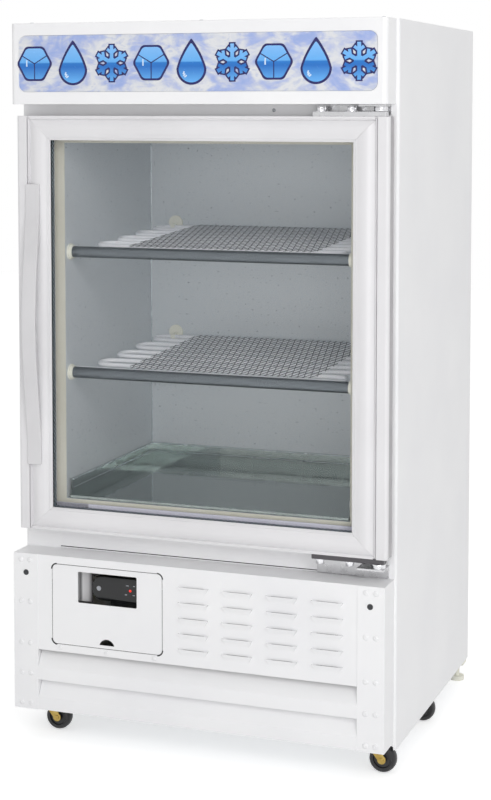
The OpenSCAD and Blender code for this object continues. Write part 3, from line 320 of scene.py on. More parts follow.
inside_low, inside_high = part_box("liner")
wall = 0.001
trim_r = 0.0007
corner_trim = bmesh.new()
for x in (inside_low.x + wall + trim_r, inside_high.x - wall - trim_r):
    back = inside_high.y - wall - trim_r
    bar(corner_trim, (x, back, inside_low.z + wall), (x, back, inside_high.z - wall), trim_r)
bright_trim = finish("corner_trim_metal", "cdd3d7", 0.25, 0.8)
polish(bright_trim, speckle(bright_trim, 30), 0.2, 0.32)
add("liner_corner_trim", corner_trim, bright_trim, "cabinet", "liner_metal")

# Breaker strip: a cream plastic frame that joins the liner to the steel round the opening.
cream = finish("cream_plastic", "dedccd", 0.5)
tint(cream, speckle(cream, 9), ["dad7c8", "e3e1d4"])
emboss(cream, speckle(cream, 700), 0.00002)
soften("breaker_strip", cream, 0.0004)

# Sign box: a folded white shell screwed to the cabinet's top. Its window holds a translucent
# panel, in front of a lamp tube.
gloss_white = finish("sign_box_enamel", "f4f4f6", 0.28)
tint(gloss_white, speckle(gloss_white, 6), ["f2f2f4", "f7f7f8"])
emboss(gloss_white, speckle(gloss_white, 1000, detail=1.0), 0.000015)
soften("header_shell", gloss_white, 0.0009, 3)
opal = finish("opal_tube", "f4f4ee", 0.3)
tint(opal, speckle(opal, 20), ["f0f0e8", "f8f8f4"])
dress(opal, "sign_lamp")


# Sign panel: pale blue and white ice, printed on the back of a gloss plastic sheet. A row of cut
# vinyl shapes is stuck on it: cubes, drops and crystals, shaded blue with a dark blue edge.
def drifts(made, scale, stretch, swirl):
    """Soft swept clouds in object coordinates, like the milky parts of ice."""
    nodes, links = made.node_tree.nodes, made.node_tree.links
    place = nodes.new("ShaderNodeTexCoord")
    mapping = nodes.new("ShaderNodeMapping")
    mapping.inputs["Rotation"].default_value = (0, math.radians(28), 0)
    mapping.inputs["Scale"].default_value = stretch
    cloud = nodes.new("ShaderNodeTexNoise")
    cloud.inputs["Scale"].default_value = scale
    cloud.inputs["Detail"].default_value = 5.0
    cloud.inputs["Distortion"].default_value = swirl
    links.new(place.outputs["Object"], mapping.inputs["Vector"])
    links.new(mapping.outputs["Vector"], cloud.inputs["Vector"])
    return cloud.outputs["Fac"]


def along(made, axis, start, end):
    """How far a point lies between two places on an axis, from 0 to 1."""
    nodes, links = made.node_tree.nodes, made.node_tree.links
    place = nodes.new("ShaderNodeTexCoord")
    split = nodes.new("ShaderNodeSeparateXYZ")
    share = nodes.new("ShaderNodeMapRange")
    share.inputs["From Min"].default_value = start
    share.inputs["From Max"].default_value = end
    links.new(place.outputs["Object"], split.inputs["Vector"])
    links.new(split.outputs[axis], share.inputs["Value"])
    return share.outputs["Result"]


def blended(made, first, second, share):
    """Two patterns mixed by a fixed share of the second."""
    mixed = made.node_tree.nodes.new("ShaderNodeMix")
    mixed.inputs["Factor"].default_value = share
    made.node_tree.links.new(first, mixed.inputs["A"])
    made.node_tree.links.new(second, mixed.inputs["B"])
    return mixed.outputs["Result"]


sign_low, sign_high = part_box("sign_panel")
sign_z = (sign_low.z + sign_high.z) / 2
ice_print = finish("ice_print", "c8cfe6", 0.2)
ice = blended(ice_print, drifts(ice_print, 11, (1, 1, 1.4), 2.6),
              drifts(ice_print, 38, (1, 1, 2), 1.2), 0.35)
tint(ice_print, ice, ["9db0e2", "a9b8e4", "c3cae2", "d9dce4", "e2e3e6", "c9cfe0"], 0.36, 0.64)
dress(ice_print, "sign_panel")

shape_r = 0.0245
edge_w = 0.0032
layer = 0.0003
glint_w = 0.002
cube_corner_r, cube_rib_w, cube_rib_short = 0.004, 0.0014, 0.003
cube_glint_left, cube_glint_down, cube_glint_l = 0.012, 0.004, 0.009
drop_r, drop_down, drop_glint_r, drop_glint_l = 0.0185, 0.0085, 0.011, 0.0042
drop_taper, drop_stretch = 0.94, 0.85
arm_w, barb_share, barb_l, barb_w, barb_lean = 0.0052, 0.56, 0.0085, 0.0042, 0.9
crystal_core_r = 0.0075
tip_share, side_share = 0.6, 1.4
hair = 0.00001
vinyl_blue = finish("vinyl_blue", "4f9fe8", 0.22)
tint(vinyl_blue, along(vinyl_blue, "Z", sign_z - shape_r, sign_z + shape_r),
     ["62aef2", "1b6fc6", "1f79cc", "66b2f4", "86c0fa"], stops=[0, 0.4, 0.5, 0.54, 1])
polish(vinyl_blue, speckle(vinyl_blue, 200), 0.18, 0.28)
vinyl_navy = finish("vinyl_navy", "1a1a5e", 0.25)
tint(vinyl_navy, speckle(vinyl_navy, 120), ["171757", "1e1e66"])
vinyl_pale = finish("vinyl_pale", "cfe4fb", 0.22)
tint(vinyl_pale, speckle(vinyl_pale, 120), ["c8dffa", "d8eafc"])
navy_edges, blue_faces, pale_marks = bmesh.new(), bmesh.new(), bmesh.new()


def disc(bm, sides, radius, x, y, turn=0.0):
    """Thin flat plate with a regular outline, facing forward. Gives back its vertices."""
    made = bmesh.ops.create_cone(
        bm, cap_ends=True, segments=sides, radius1=radius, radius2=radius, depth=layer,
        matrix=Matrix.Translation((x, y, sign_z)) @ Matrix.Rotation(turn, 4, "Y")
        @ Matrix.Rotation(math.pi / 2, 4, "X"))
    return made["verts"]


def strip(bm, x, y, z, length, width, turn):
    """Thin flat bar that starts at a point and runs off at an angle from upright."""
    bmesh.ops.create_cube(bm, matrix=Matrix.Translation((x, y, z)) @ Matrix.Rotation(turn, 4, "Y")
                          @ Matrix.Translation((0, 0, length / 2))
                          @ Matrix.Diagonal((width, layer, length, 1)))


def cube_shape(x):
    """Ice cube seen on its corner: a rounded hexagon with three ribs and a glint."""
    for bm, radius, y in ((navy_edges, shape_r + edge_w, edge_y), (blue_faces, shape_r, face_y)):
        corners = disc(bm, 6, radius, x, y, math.pi / 6)
        upright = {e for v in corners for e in v.link_edges
                   if abs(e.verts[0].co.y - e.verts[1].co.y) > layer / 2}
        bmesh.ops.bevel(bm, geom=list(upright), offset=cube_corner_r, segments=4, profile=0.5,
                        affect="EDGES", material=-1)
    for turn in (math.pi / 3, -math.pi / 3, math.pi):
        strip(navy_edges, x, mark_y, sign_z, shape_r - cube_rib_short, cube_rib_w, turn)
    strip(pale_marks, x - cube_glint_left, mark_y, sign_z - cube_glint_down, cube_glint_l,
          glint_w, 0.0)


def drop_shape(x):
    """Water drop: a disc drawn out to a point, with three glints along its side."""
    for bm, radius, y in ((navy_edges, drop_r + edge_w, edge_y), (blue_faces, drop_r, face_y)):
        for v in disc(bm, 48, radius, x, y):
            rise = max(0.0, (v.co.z - sign_z) / radius)
            v.co.x = x + (v.co.x - x) * math.sqrt(1 - drop_taper * rise)
            v.co.z += radius * rise * drop_stretch - drop_down
    for turn in (1.9, 2.2, 2.5):
        strip(pale_marks, x - drop_glint_r * math.sin(turn), mark_y, sign_z - drop_down
              + drop_glint_r * math.cos(turn), drop_glint_l, glint_w, turn + math.pi / 2)


def crystal_shape(x):
    """Six-armed crystal with a pair of barbs on each arm, in layers a hair apart."""
    for bm, spare, y in ((navy_edges, edge_w, edge_y), (blue_faces, 0.0, face_y)):
        for i in range(6):
            turn = i * math.pi / 3
            strip(bm, x, y, sign_z, shape_r + spare * tip_share, arm_w + side_share * spare, turn)
            for lean in (-barb_lean, barb_lean):
                strip(bm, x + shape_r * barb_share * math.sin(turn), y - (2 + lean) * hair,
                      sign_z + shape_r * barb_share * math.cos(turn),
                      barb_l + spare * tip_share, barb_w + side_share * spare, turn + lean)
        disc(bm, 6, crystal_core_r + spare, x, y - 4 * hair, math.pi / 6)


edge_y = sign_low.y - 0.00016
face_y = edge_y - 0.00012
mark_y = face_y - 0.0001
shape_pitch = 0.0588
for i, shape in enumerate((cube_shape, drop_shape, crystal_shape) * 3):
    shape((i - 4) * shape_pitch)
add("sign_shape_edges", navy_edges, vinyl_navy, "cabinet", "sign")
add("sign_shapes", blue_faces, vinyl_blue, "cabinet", "sign")
add("sign_highlights", pale_marks, vinyl_pale, "cabinet", "sign")

# Glass: two clear panes with a faint green body, held apart by a dark bar punched with fine holes.
clear = finish("clear_glass", "a9b3b5", 0.02)
clear.node_tree.nodes["Principled BSDF"].inputs["Alpha"].default_value = 0.015
clear.node_tree.nodes["Principled BSDF"].inputs["IOR"].default_value = 1.5
polish(clear, speckle(clear, 6), 0.01, 0.04)
dress(clear, "glass_outer", "glass_inner")
hole_pitch = 0.0032
spacer_metal = finish("spacer_metal", "3b4148", 0.4, 0.5)
spacer_nodes, spacer_links = spacer_metal.node_tree.nodes, spacer_metal.node_tree.links
holes = spacer_nodes.new("ShaderNodeTexChecker")
holes.inputs["Scale"].default_value = 1 / hole_pitch
holes.inputs["Color1"].default_value = (*tone("8b9aa4"), 1)
holes.inputs["Color2"].default_value = (*tone("1d2024"), 1)
hole_place = spacer_nodes.new("ShaderNodeTexCoord")
spacer_links.new(hole_place.outputs["Object"], holes.inputs["Vector"])
spacer_links.new(holes.outputs["Color"], spacer_nodes["Principled BSDF"].inputs["Base Color"])
dress(spacer_metal, "spacer_bar")

# Door frame: white plastic sections cut at 45 degrees and welded round the glass.
door_white = finish("door_plastic", "e5e4e6", 0.34)
tint(door_white, speckle(door_white, 8), ["e2e1e3", "e8e7e9"])
emboss(door_white, speckle(door_white, 500, detail=1.0), 0.00001)
for node in ("door_stile_left", "door_stile_right", "door_rail_top", "door_rail_bottom"):
    soften(node, door_white, 0.0005, 3)


# Moulding: a rounded section with a stepped lip at the glass, laid over the frame. Fine seams
# show where its four lengths meet, and a thin bead runs round outside it in the groove.
def mitred(half_x, low_z, high_z, widths, section, gap=0.00012):
    """Four bars with one section of (share of width, depth), mitred round an opening."""
    made = bmesh.new()
    side_w, top_w, bottom_w = widths
    turns = ((-1, -1), (1, -1), (1, 1), (-1, 1))
    for here, there in zip(turns, turns[1:] + turns[:1]):
        ends = []
        for (sx, sz), way in ((here, 1), (there, -1)):
            shift = Vector((there[0] - here[0], 0, there[1] - here[1])).normalized() * gap * way
            ends.append([made.verts.new(shift + Vector((
                sx * (half_x + share * side_w), y,
                high_z + share * top_w if sz > 0 else low_z - share * bottom_w)))
                for share, y in section])
        rims = [made.edges.new(pair) for end in ends for pair in zip(end, end[1:] + end[:1])]
        bmesh.ops.bridge_loops(made, edges=rims)
        for end in ends:
            made.faces.new(end)
    bmesh.ops.recalc_face_normals(made, faces=made.faces)
    return made


glass_hold = 0.010
pane_low, pane_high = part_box("glass_outer")
sight_x = pane_high.x - glass_hold
sight_low, sight_high = pane_low.z + glass_hold, pane_high.z - glass_hold
frame_back = pane_low.y
mould_widths = (0.0305, 0.0285, 0.028)
crest, crest_h = 0.6, 0.0063
inner_h, outer_h = 0.0013, 0.0023
lip_end, curve_steps = 0.16, 16


def mould_height(share):
    """Height of the rounded part over the glass, in metres, across its width."""
    if share < crest:
        return inner_h + (crest_h - inner_h) * math.sin(math.pi / 2 * share / crest)
    return outer_h + (crest_h - outer_h) * math.sin(math.pi / 2 * (1 - share) / (1 - crest))


lip = [(-0.012, 0.0001), (-0.012, 0.0015), (-0.002, 0.0019), (0.05, 0.0019), (0.054, 0.0029),
       (0.1, 0.0031), (0.108, 0.0027), (0.118, 0.0027), (0.124, 0.0036), (0.16, 0.0038)]
curve = [(share, mould_height(share)) for share in
         (lip_end + (1 - lip_end) * i / curve_steps for i in range(1, curve_steps + 1))]
section = [(share, frame_back - rise) for share, rise in lip + curve + [(1.008, 0.0001)]]
mould = mitred(sight_x, sight_low, sight_high, mould_widths, section)
add("door_moulding", mould, door_white, "door", "door_white", sharp=24)

bead_w = 0.0015
bead_out = 0.0009
bead_section = [(share, frame_back - rise) for share, rise in
                ((0, 0.0015), (0, 0.0049), (0.3, 0.0056), (0.7, 0.0056), (1, 0.0049), (1, 0.0015))]
bead = mitred(sight_x + mould_widths[0] + bead_out, sight_low - mould_widths[2] - bead_out,
              sight_high + mould_widths[1] + bead_out, (bead_w,) * 3, bead_section)
add("door_bead", bead, door_white, "door", "door_white")

# Gasket: grey rubber with a magnet inside, pushed into a holder on the frame's back. The part of
# the holder that shows through the glass is pale lavender plastic, made much lighter than the
# rubber as painted light on a band that lies in shade behind the glass.
gasket_rubber = finish("gasket_rubber", "b6b4b6", 0.6)
tint(gasket_rubber, speckle(gasket_rubber, 30), ["b0aeb1", "bcbabc"])
holder_painted_light = finish("holder_painted_light", "dddcea", 0.35)
tint(holder_painted_light, speckle(holder_painted_light, 30), ["d8d7e6", "e2e1ee"])
gasket = soften("gasket", gasket_rubber, 0.0002)
gasket.data.materials.append(holder_painted_light)
holder_x, holder_reach = sight_x + 0.004, 0.02
for face in gasket.data.polygons:
    inward = abs(face.center.x) < holder_x and face.normal.y < 0.5
    if inward and sight_low - holder_reach < face.center.z < sight_high + holder_reach:
        face.material_index = 1

# Handle: one bowed plastic strip on the left stile, flat where it is screwed at both ends.
handle_satin = finish("handle_satin", "d8d7d9", 0.3)
tint(handle_satin, speckle(handle_satin, 12), ["d4d3d5", "dcdbdd"])
soften("handle", handle_satin, 0.0009, 3)


# Hinges: pressed steel brackets on the cabinet and thick plates on the door's ends. Each has a
# turned barrel with a groove and two hexagon bolts with washers.
def turned(bm, outline, place, axis="Z", steps=24):
    """Turns an outline of (radius, height) pairs round an axis through a point."""
    place, spin_axis = Vector(place), Vector((axis == "X", axis == "Y", axis == "Z"))
    across = Vector((axis != "X", axis == "X", 0))
    points = [bm.verts.new(place + across * r + spin_axis * h) for r, h in outline]
    edges = [bm.edges.new(pair) for pair in zip(points, points[1:])]
    bmesh.ops.spin(bm, geom=points + edges, cent=place, axis=spin_axis, angle=math.tau,
                   steps=steps, use_merge=True)
    bmesh.ops.remove_doubles(bm, verts=bm.verts, dist=1e-6)
    bmesh.ops.recalc_face_normals(bm, faces=bm.faces)


bracket_metal = finish("bracket_metal", "c9c9cb", 0.28, 0.85)
polish(bracket_metal, speckle(bracket_metal, 60), 0.2, 0.36)
soften("hinge_bracket_upper", bracket_metal, 0.0004)
soften("hinge_bracket_lower", bracket_metal, 0.0004)
# Painted shade: the plate under the door gets a dark steel, the same plate on the door's top the
# bright bracket metal.
plate_steel_painted_shade = finish("plate_steel_painted_shade", "555356", 0.35, 0.8)
polish(plate_steel_painted_shade, speckle(plate_steel_painted_shade, 60), 0.3, 0.42)
plates = soften("door_hinge_plates", plate_steel_painted_shade, 0.0006, 3)
plates.data.materials.append(bracket_metal)
door_middle = (pane_low.z + pane_high.z) / 2
for face in plates.data.polygons:
    face.material_index = int(face.center.z > door_middle)

chrome = finish("chrome", "dcdcdf", 0.1, 1.0)
polish(chrome, speckle(chrome, 40), 0.06, 0.16)
hinge_x = 0.258
hinge_y = front_y - 0.020
door_low, door_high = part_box("door_stile_right")
plate_t = 0.0065
barrel_h, barrel_gap = 0.0056, 0.0004
barrel_r, groove_r, bore_r = 0.0094, 0.0092, 0.0085
barrel_outline = [(groove_r, 0), (barrel_r, 0.0004), (barrel_r, 0.0022), (groove_r, 0.0024),
                  (groove_r, 0.0032), (barrel_r, 0.0034), (barrel_r, 0.0052),
                  (groove_r, barrel_h), (bore_r, barrel_h), (bore_r, 0), (groove_r, 0)]
bolt_places = (0.176, 0.218)
bolt_r, bolt_h, bolt_edge = 0.0062, 0.0074, 0.0006
washer_r, washer_t = 0.0078, 0.001
for side, z, way in (("lower", door_low.z - plate_t, -1), ("upper", door_high.z + plate_t, 1)):
    barrel = bmesh.new()
    rise = barrel_gap if way > 0 else -barrel_gap - barrel_h
    turned(barrel, barrel_outline, (hinge_x, hinge_y, z + rise))
    add("hinge_barrel_" + side, barrel, chrome, "cabinet", "bright_metal")
    bolts = bmesh.new()
    for x in bolt_places:
        middle = Vector((x, hinge_y, z + way * bolt_h / 2))
        head = bmesh.ops.create_cone(bolts, cap_ends=True, segments=6, radius1=bolt_r,
                                     radius2=bolt_r, depth=bolt_h,
                                     matrix=Matrix.Translation(middle))
        rim = {e for v in head["verts"] for e in v.link_edges}
        bmesh.ops.bevel(bolts, geom=list(rim), offset=bolt_edge, segments=2, profile=0.5,
                        affect="EDGES", material=-1)
        bar(bolts, (x, hinge_y, z), (x, hinge_y, z + way * washer_t), washer_r, 24)
    add("hinge_bolts_" + side, bolts, chrome, "door", "dark_metal")

# Kick panel: two flanged end strips riveted to a louvred sheet and two sloping slats. A control
# hatch hangs in the sheet on two pivots. All of it is powder coated like the cabinet.
for node in ("corner_posts", "vent_panel", "kick_slats", "control_hatch", "rear_grille"):
    soften(node, white_coat, 0.0004)
slat_low, slat_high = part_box("kick_slats")
end_gap, end_out, end_in, end_back, end_top = 0.0003, 0.0013, 0.0013, 0.030, 0.131
slat_ends = bmesh.new()
for side in (-1, 1):
    ends = sorted((side * (slat_high.x + end_gap), side * (slat_high.x + end_out)))
    block(slat_ends, (ends[0], slat_low.y + end_in, slat_low.z),
          (ends[1], front_y - end_back, end_top))
add("slat_end_plates", slat_ends, white_coat, "cabinet", "white_paint")
post_x = (kick_high.x - 0.012, kick_high.x - 0.026)
rivet_heights = (kick_high.z - 0.009, kick_high.z - 0.069, kick_high.z - 0.129,
                 kick_low.z + 0.0525, kick_low.z + 0.009)
rivet_heads = bmesh.new()
rivet_outline = [(0, 0.0009), (0.0007, 0.0009), (0.0010, 0.0015), (0.0018, 0.0016),
                 (0.0030, 0.0011), (0.0040, 0.0002), (0.0041, -0.0001), (0, -0.0001)]
for z in rivet_heights:
    for x in post_x:
        for side in (-1, 1):
            turned(rivet_heads, [(r, -h) for r, h in rivet_outline],
                   (side * x, kick_low.y, z), "Y", 20)
hatch_low, hatch_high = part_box("control_hatch")
hatch_x = (hatch_low.x + hatch_high.x) / 2
panel_y = slat_low.y + 0.0012
row_in, row_down = 0.012, 0.0058
row_r, row_h = 0.88, 0.9
rivet_row = (hatch_high.x - hatch_low.x) / 2 - row_in
for i in (-1, 0, 1):
    turned(rivet_heads, [(r * row_r, -h * row_h) for r, h in rivet_outline],
           (hatch_x + i * rivet_row, panel_y, hatch_low.z - row_down), "Y", 20)
rivet_white = finish("rivet_white", "eeeef0", 0.3)
tint(rivet_white, speckle(rivet_white, 60), ["ebebed", "f2f2f3"])
add("rivets_domed", rivet_heads, rivet_white, "cabinet", "white_paint", "rivets")

# Dark parts round the hatch: painted shade. Dark strips behind its opening, a bent dark pad at
# each corner and a dark sheet above stand for the shade in the gaps round the hatch. The
# controller has a rounded black face, a red lamp, small marks and a pale plate with painted dark
# bands of shade.
face_low, face_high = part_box("controller_face")
shade_in, shade_out, shade_short, shade_rise = 0.0006, 0.003, 0.022, 0.0012
shade_front, shade_back = panel_y + 0.0012, panel_y + 0.0024
top_shade_out, top_shade_down, top_shade_up = 0.006, 0.012, 0.008
top_shade_front, top_shade_back = panel_y + 0.018, panel_y + 0.019
hatch_shade = bmesh.new()
for side in (-1, 1):
    edge = hatch_x + side * (hatch_high.x - hatch_low.x) / 2
    ends = sorted((edge - side * shade_in, edge + side * shade_out))
    block(hatch_shade, (ends[0], shade_front, hatch_low.z - shade_out),
          (ends[1], shade_back, hatch_high.z - shade_short))
block(hatch_shade, (hatch_low.x - shade_out, shade_front, hatch_low.z - shade_out),
      (hatch_high.x + shade_out, shade_back, hatch_low.z + shade_rise))
block(hatch_shade, (hatch_low.x - top_shade_out, top_shade_front, hatch_high.z - top_shade_down),
      (hatch_high.x + top_shade_out, top_shade_back, hatch_high.z + top_shade_up))
hatch_r = 0.007
corner_shade_in, corner_shade_w, corner_shade_front, corner_shade_back = 0.0002, 0.0018, -0.0001, 0.0008
for side in (-1, 1):
    for end, z in ((-1, hatch_low.z), (1, hatch_high.z)):
        pivot = Vector((hatch_x + side * ((hatch_high.x - hatch_low.x) / 2 - hatch_r), panel_y,
                        z - end * hatch_r))
        outline = [hatch_shade.verts.new(pivot + Vector((side * (hatch_r + corner_shade_in + w), y, 0)))
                   for w, y in ((0, corner_shade_front), (corner_shade_w, corner_shade_front), (corner_shade_w, corner_shade_back),
                                (0, corner_shade_back))]
        bmesh.ops.spin(hatch_shade, geom=[hatch_shade.faces.new(outline)], cent=pivot, axis=(0, -side * end, 0),
                       angle=math.pi / 2, steps=8)
bmesh.ops.recalc_face_normals(hatch_shade, faces=hatch_shade.faces)
add("hatch_gap_shade", hatch_shade, gap_shade_black, "cabinet", "dark_plastic")

bezel_w, bezel_gap, bezel_rim = 0.03, 0.0005, 0.004
bezel_front, bezel_back = face_low.y + 0.001, face_low.y + 0.0025
# Painted shade: dark bands run across the pale plate, for the shade deep behind the window and
# beside the lens.
bezel_painted_shade = finish("bezel_painted_shade", "cfcfd0", 0.4)
tint(bezel_painted_shade, along(bezel_painted_shade, "X", face_low.x - bezel_w, face_low.x),
     ["d9d9da", "6c6b6d", "dededf", "b9b8ba", "4c4a4c"], stops=[0.2, 0.4, 0.5, 0.78, 0.95])
bezel = bmesh.new()
block(bezel, (face_low.x - bezel_w, bezel_front, face_low.z - bezel_rim),
      (face_low.x - bezel_gap, bezel_back, face_high.z + bezel_rim))
add("controller_bezel", bezel, bezel_painted_shade, "cabinet", "dark_plastic")
gloss_black = finish("gloss_black", "141517", 0.12)
polish(gloss_black, speckle(gloss_black, 60), 0.08, 0.2)
lens_end_r, lens_corner_r, lens_edge = 0.0155, 0.003, 0.0008
near = 0.001
lens = bmesh.new()
block(lens, face_low, face_high)
for end_x, rounding, steps in ((face_low.x, lens_end_r, 10), (face_high.x, lens_corner_r, 4)):
    corners = [e for e in lens.edges
               if abs(e.verts[0].co.y - e.verts[1].co.y) > near
               and abs(e.verts[0].co.x - end_x) < near]
    bmesh.ops.bevel(lens, geom=corners, offset=rounding, segments=steps, profile=0.5,
                    affect="EDGES", material=-1)
rim = [e for e in lens.edges if max(v.co.y for v in e.verts) < face_low.y + near / 10]
bmesh.ops.bevel(lens, geom=rim, offset=lens_edge, segments=3, profile=0.5, affect="EDGES",
                material=-1)
add("controller_lens", lens, gloss_black, "cabinet", "dark_gloss", "controller_face", sharp=20)
red_lamp = finish("red_lamp", "ff2a1c", 0.2)
red_lamp.node_tree.nodes["Principled BSDF"].inputs["Emission Color"].default_value = (
    *tone("ff3020"), 1)
red_lamp.node_tree.nodes["Principled BSDF"].inputs["Emission Strength"].default_value = 0.8
polish(red_lamp, speckle(red_lamp, 400), 0.12, 0.3)
lamp_x, lamp_z = -0.0985, 0.225
lamp_dot = bmesh.new()
turned(lamp_dot, [(0, -0.0008), (0.0012, -0.0006), (0.0018, 0.0), (0, 0.0)],
       (lamp_x, face_low.y, lamp_z), "Y", 16)
add("controller_lamp", lamp_dot, red_lamp, "cabinet", "dark_gloss")
pale_ink = finish("pale_ink", "9da0a6", 0.4)
tint(pale_ink, speckle(pale_ink, 300), ["94979d", "a8abb0"])
upper_marks_z, lower_marks_z = 0.2320, 0.2190
mark_h, ink_t = 0.0012, 0.0002
knob_in, knob_r, knob_h = 0.0105, 0.0034, 0.0003
marks = bmesh.new()
for x, z, w in ((-0.1027, upper_marks_z, 0.0040), (-0.1048, lower_marks_z, 0.0034),
                (-0.0930, lower_marks_z, 0.0034), (-0.0925, upper_marks_z, 0.0026)):
    block(marks, (x - w / 2, face_low.y - ink_t, z - mark_h / 2),
          (x + w / 2, face_low.y + ink_t, z + mark_h / 2))
turned(marks, [(0, -knob_h), (knob_r, -knob_h), (knob_r, 0.0), (0, 0.0)],
       (face_low.x + knob_in, face_low.y, (face_low.z + face_high.z) / 2), "Y", 20)
add("controller_marks", marks, pale_ink, "cabinet", "dark_gloss")
moulded_black = finish("moulded_black", "2a2b2e", 0.5)
tint(moulded_black, speckle(moulded_black, 40), ["26272a", "303236"])
emboss(moulded_black, speckle(moulded_black, 1500, detail=1.0), 0.00003)
dress(moulded_black, "controller_case", "hole_plugs", "cord_gland", "condensate_pan")

# Screws, caster plates and base pan: zinc plated steel with its faint grey bloom.
zinc = finish("zinc_plate", "b9bdc1", 0.38, 0.85)
tint(zinc, speckle(zinc, 45), ["aeb2b7", "c3c7ca"])
polish(zinc, speckle(zinc, 80), 0.3, 0.48)
dress(zinc, "screws", "caster_plates", "base_pan")

# Cooling machinery: black enamelled compressor, shroud and motor, copper lines, a condenser of
# thin aluminium fins and an aluminium fan.
black_enamel = finish("black_enamel", "202124", 0.28)
tint(black_enamel, speckle(black_enamel, 25), ["1b1c1f", "28292d"])
emboss(black_enamel, speckle(black_enamel, 300), 0.00005)
dress(black_enamel, "compressor")
shroud_black = finish("shroud_black", "2e3033", 0.48)
tint(shroud_black, speckle(shroud_black, 60), ["292b2e", "34363a"])
dress(shroud_black, "fan_shroud", "fan_motor")
copper = finish("copper", "b87352", 0.35, 1.0)
tint(copper, speckle(copper, 35), ["a9623f", "c48060"])
polish(copper, speckle(copper, 30), 0.28, 0.45)
dress(copper, "refrigerant_lines")
# Painted shade: dark bands at the fin pitch stand for the shade in the gaps between the fins.
fin_pitch, wave_length = 0.0022, 0.314
fins = finish("fin_metal", "b2b5b8", 0.35, 0.9)
fin_nodes, fin_links = fins.node_tree.nodes, fins.node_tree.links
fin_shade_rows = fin_nodes.new("ShaderNodeTexWave")
fin_shade_rows.inputs["Scale"].default_value = wave_length / fin_pitch
fin_shade_rows.inputs["Distortion"].default_value = 0.0
row_place = fin_nodes.new("ShaderNodeTexCoord")
fin_links.new(row_place.outputs["Object"], fin_shade_rows.inputs["Vector"])
tint(fins, fin_shade_rows.outputs["Fac"], ["44474a", "c6c9cc"])
emboss(fins, fin_shade_rows.outputs["Fac"], 0.0008)
dress(fins, "condenser")
fan_metal = finish("fan_metal", "b9bcbf", 0.35, 0.9)
polish(fan_metal, speckle(fan_metal, 30), 0.3, 0.45)
dress(fan_metal, "fan_blade")

# Shelves: a satin steel bar across the front of each, in white end caps, and a serpentine cooling
# tube with a pale enamel, hooked to clips on the back wall.
bar_metal = finish("bar_metal", "6a7075", 0.34, 0.85)
tint(bar_metal, speckle(bar_metal, 6), ["666c71", "6f757a"])
polish(bar_metal, speckle(bar_metal, 10), 0.32, 0.38)
dress(bar_metal, "shelf_bars")
white_plastic = finish("white_plastic", "f3f2e6", 0.45)
tint(white_plastic, speckle(white_plastic, 30), ["efeee1", "f6f5ea"])
dress(white_plastic, "bar_caps", "coil_clips", "drain_tube", "rear_feet")
tube_white = finish("tube_white", "f6f6fb", 0.35)
tint(tube_white, speckle(tube_white, 30), ["f2f3f9", "fafafd"])
dress(tube_white, "evaporator_coils")

# Tray: folded from thin stainless sheet with a mirror finish, loose on the cold space's floor.
# Its walls have a bright crease half way up and a rolled rim.
tray_low, tray_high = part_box("bottom_tray")
steel = finish("tray_steel_painted_bands", "b4bbba", 0.12, 1.0)
# Painted reflection and shade: the colour is darker in a band at the crease's height and lighter
# towards the rim.
tint(steel, along(steel, "Z", tray_low.z, tray_high.z),
     ["8f9896", "848c8a", "555d5b", "8c9492", "b0b7b5"], stops=[0, 0.42, 0.5, 0.56, 1])
polish(steel, speckle(steel, 14, (1, 6, 1)), 0.06, 0.12)
emboss(steel, speckle(steel, 7), 0.00006)
soften("bottom_tray", steel, 0.0003)
crease_in, crease_up, crease_r = 0.0037, 0.013, 0.0006
rim_down, rim_r = 0.001, 0.0009
crease_front = tray_low.y + 0.010
crease_x, crease_back = tray_high.x - crease_in, tray_high.y - crease_in
creases = bmesh.new()
for z, radius in ((tray_low.z + crease_up, crease_r), (tray_high.z - rim_down, rim_r)):
    for x in (-crease_x, crease_x):
        bar(creases, (x, crease_front, z), (x, crease_back, z), radius)
    bar(creases, (-crease_x, crease_back, z), (crease_x, crease_back, z), radius)
add("tray_creases", creases, bright_trim, frame["nodes"]["bottom_tray"]["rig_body"],
    slot_of["bottom_tray"])

# Casters: each has a pressed fork in yellow zinc, which turns under its plate, and a black wheel
# with a rounded tread, a sunk web and a raised hub.
yellow_zinc = finish("yellow_zinc", "b39a55", 0.35, 0.9)
tint(yellow_zinc, speckle(yellow_zinc, 70), ["9d7f3c", "c0aa66"])
polish(yellow_zinc, speckle(yellow_zinc, 80), 0.28, 0.45)
wheel_black = finish("wheel_black", "1d1d20", 0.42)
tint(wheel_black, speckle(wheel_black, 80), ["19191b", "242427"])
wheel_outline = [(0, 0.98), (0.12, 0.98), (0.14, 1.0), (0.3, 1.0), (0.32, 0.62), (0.62, 0.62),
                 (0.66, 0.9), (0.86, 0.96), (0.95, 0.74), (0.995, 0.3)]
for place in ("front_left", "front_right", "back_left", "back_right"):
    soften("fork_" + place, yellow_zinc, 0.0003)
    low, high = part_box("wheel_" + place)
    half_w, radius = (high.y - low.y) / 2, (high.z - low.z) / 2
    half = [(share * radius, way * half_w) for share, way in wheel_outline]
    wheel = bmesh.new()
    turned(wheel, [(r, -w) for r, w in half] + half[::-1], (low + high) / 2, "Y", 40)
    body = frame["nodes"]["wheel_" + place]["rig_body"]
    add("tread_wheel_" + place, wheel, wheel_black, body, "wheel_black", "wheel_" + place)


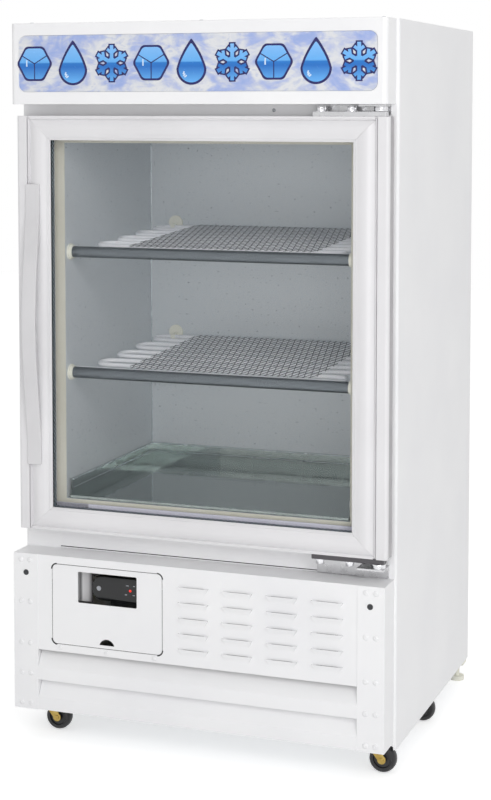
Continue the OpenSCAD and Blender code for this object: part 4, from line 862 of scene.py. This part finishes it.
# Mesh mats: expanded steel sheet laid on the tubes. Long slim diamonds run front to back, and
# the strands are flat, mid grey and a little worn.
mesh_grey = finish("mesh_grey", "64696e", 0.36, 0.5)
tint(mesh_grey, speckle(mesh_grey, 25), ["5c6166", "6e7378"])
diamond_w, diamond_l = 0.0092, 0.0376
strand_w, strand_t, strand_spare = 0.0010, 0.0006, 0.02
mat_t = 0.002
for node in ("mesh_mat_lower", "mesh_mat_upper"):
    low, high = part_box(node)
    middle, half = (low + high) / 2, (high - low) / 2
    slope = math.atan2(high.z - low.z - mat_t, high.y - low.y)
    lean = math.atan2(diamond_w, diamond_l)
    count = int((half.x + half.y * diamond_w / diamond_l) * 2 / diamond_w)
    strand_size = (strand_w, half.y * 2 + strand_spare, strand_t, 1)
    mat = bmesh.new()
    for side in (-1, 1):
        for i in range(count):
            x = (i - (count - 1) / 2) * diamond_w
            bmesh.ops.create_cube(mat, matrix=Matrix.Translation((x, 0, 0))
                                  @ Matrix.Rotation(side * lean, 4, "Z")
                                  @ Matrix.Diagonal(strand_size))
    for edge in ((-half.x, 0, 0), (half.x, 0, 0), (0, -half.y, 0), (0, half.y, 0)):
        cut = bmesh.ops.bisect_plane(mat, geom=mat.verts[:] + mat.edges[:] + mat.faces[:],
                                     plane_co=edge, plane_no=Vector(edge).normalized(),
                                     clear_outer=True)
        rim = [e for e in cut["geom_cut"] if isinstance(e, bmesh.types.BMEdge)]
        bmesh.ops.holes_fill(mat, edges=rim, sides=0)
    bmesh.ops.transform(mat, matrix=Matrix.Translation(middle) @ Matrix.Rotation(slope, 4, "X"),
                        verts=mat.verts)
    body = frame["nodes"][node]["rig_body"]
    add(node + "_strands", mat, mesh_grey, body, slot_of[node], node)

# Floor: a plain pale sheet that runs well beyond the view. It looks white to the camera and
# keeps the freezer's shadow.
floor_size, floor_glow = 12, 0.5
bpy.ops.mesh.primitive_plane_add(size=floor_size)
floor = bpy.context.object
floor.name = "floor"
pale = finish("floor_paper", "f5f5f5", 0.9)
pale_shader = pale.node_tree.nodes["Principled BSDF"]
pale_shader.inputs["Specular IOR Level"].default_value = 0.0
pale_shader.inputs["Emission Color"].default_value = (1, 1, 1, 1)
pale_glow = pale.node_tree.nodes.new("ShaderNodeMapRange")
pale_glow.inputs["To Max"].default_value = floor_glow
pale.node_tree.links.new(seen_by_eye(pale.node_tree.nodes, pale.node_tree.links),
                         pale_glow.inputs["Value"])
pale.node_tree.links.new(pale_glow.outputs["Result"], pale_shader.inputs["Emission Strength"])
floor.data.materials.append(pale)
floor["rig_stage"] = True

low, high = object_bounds()
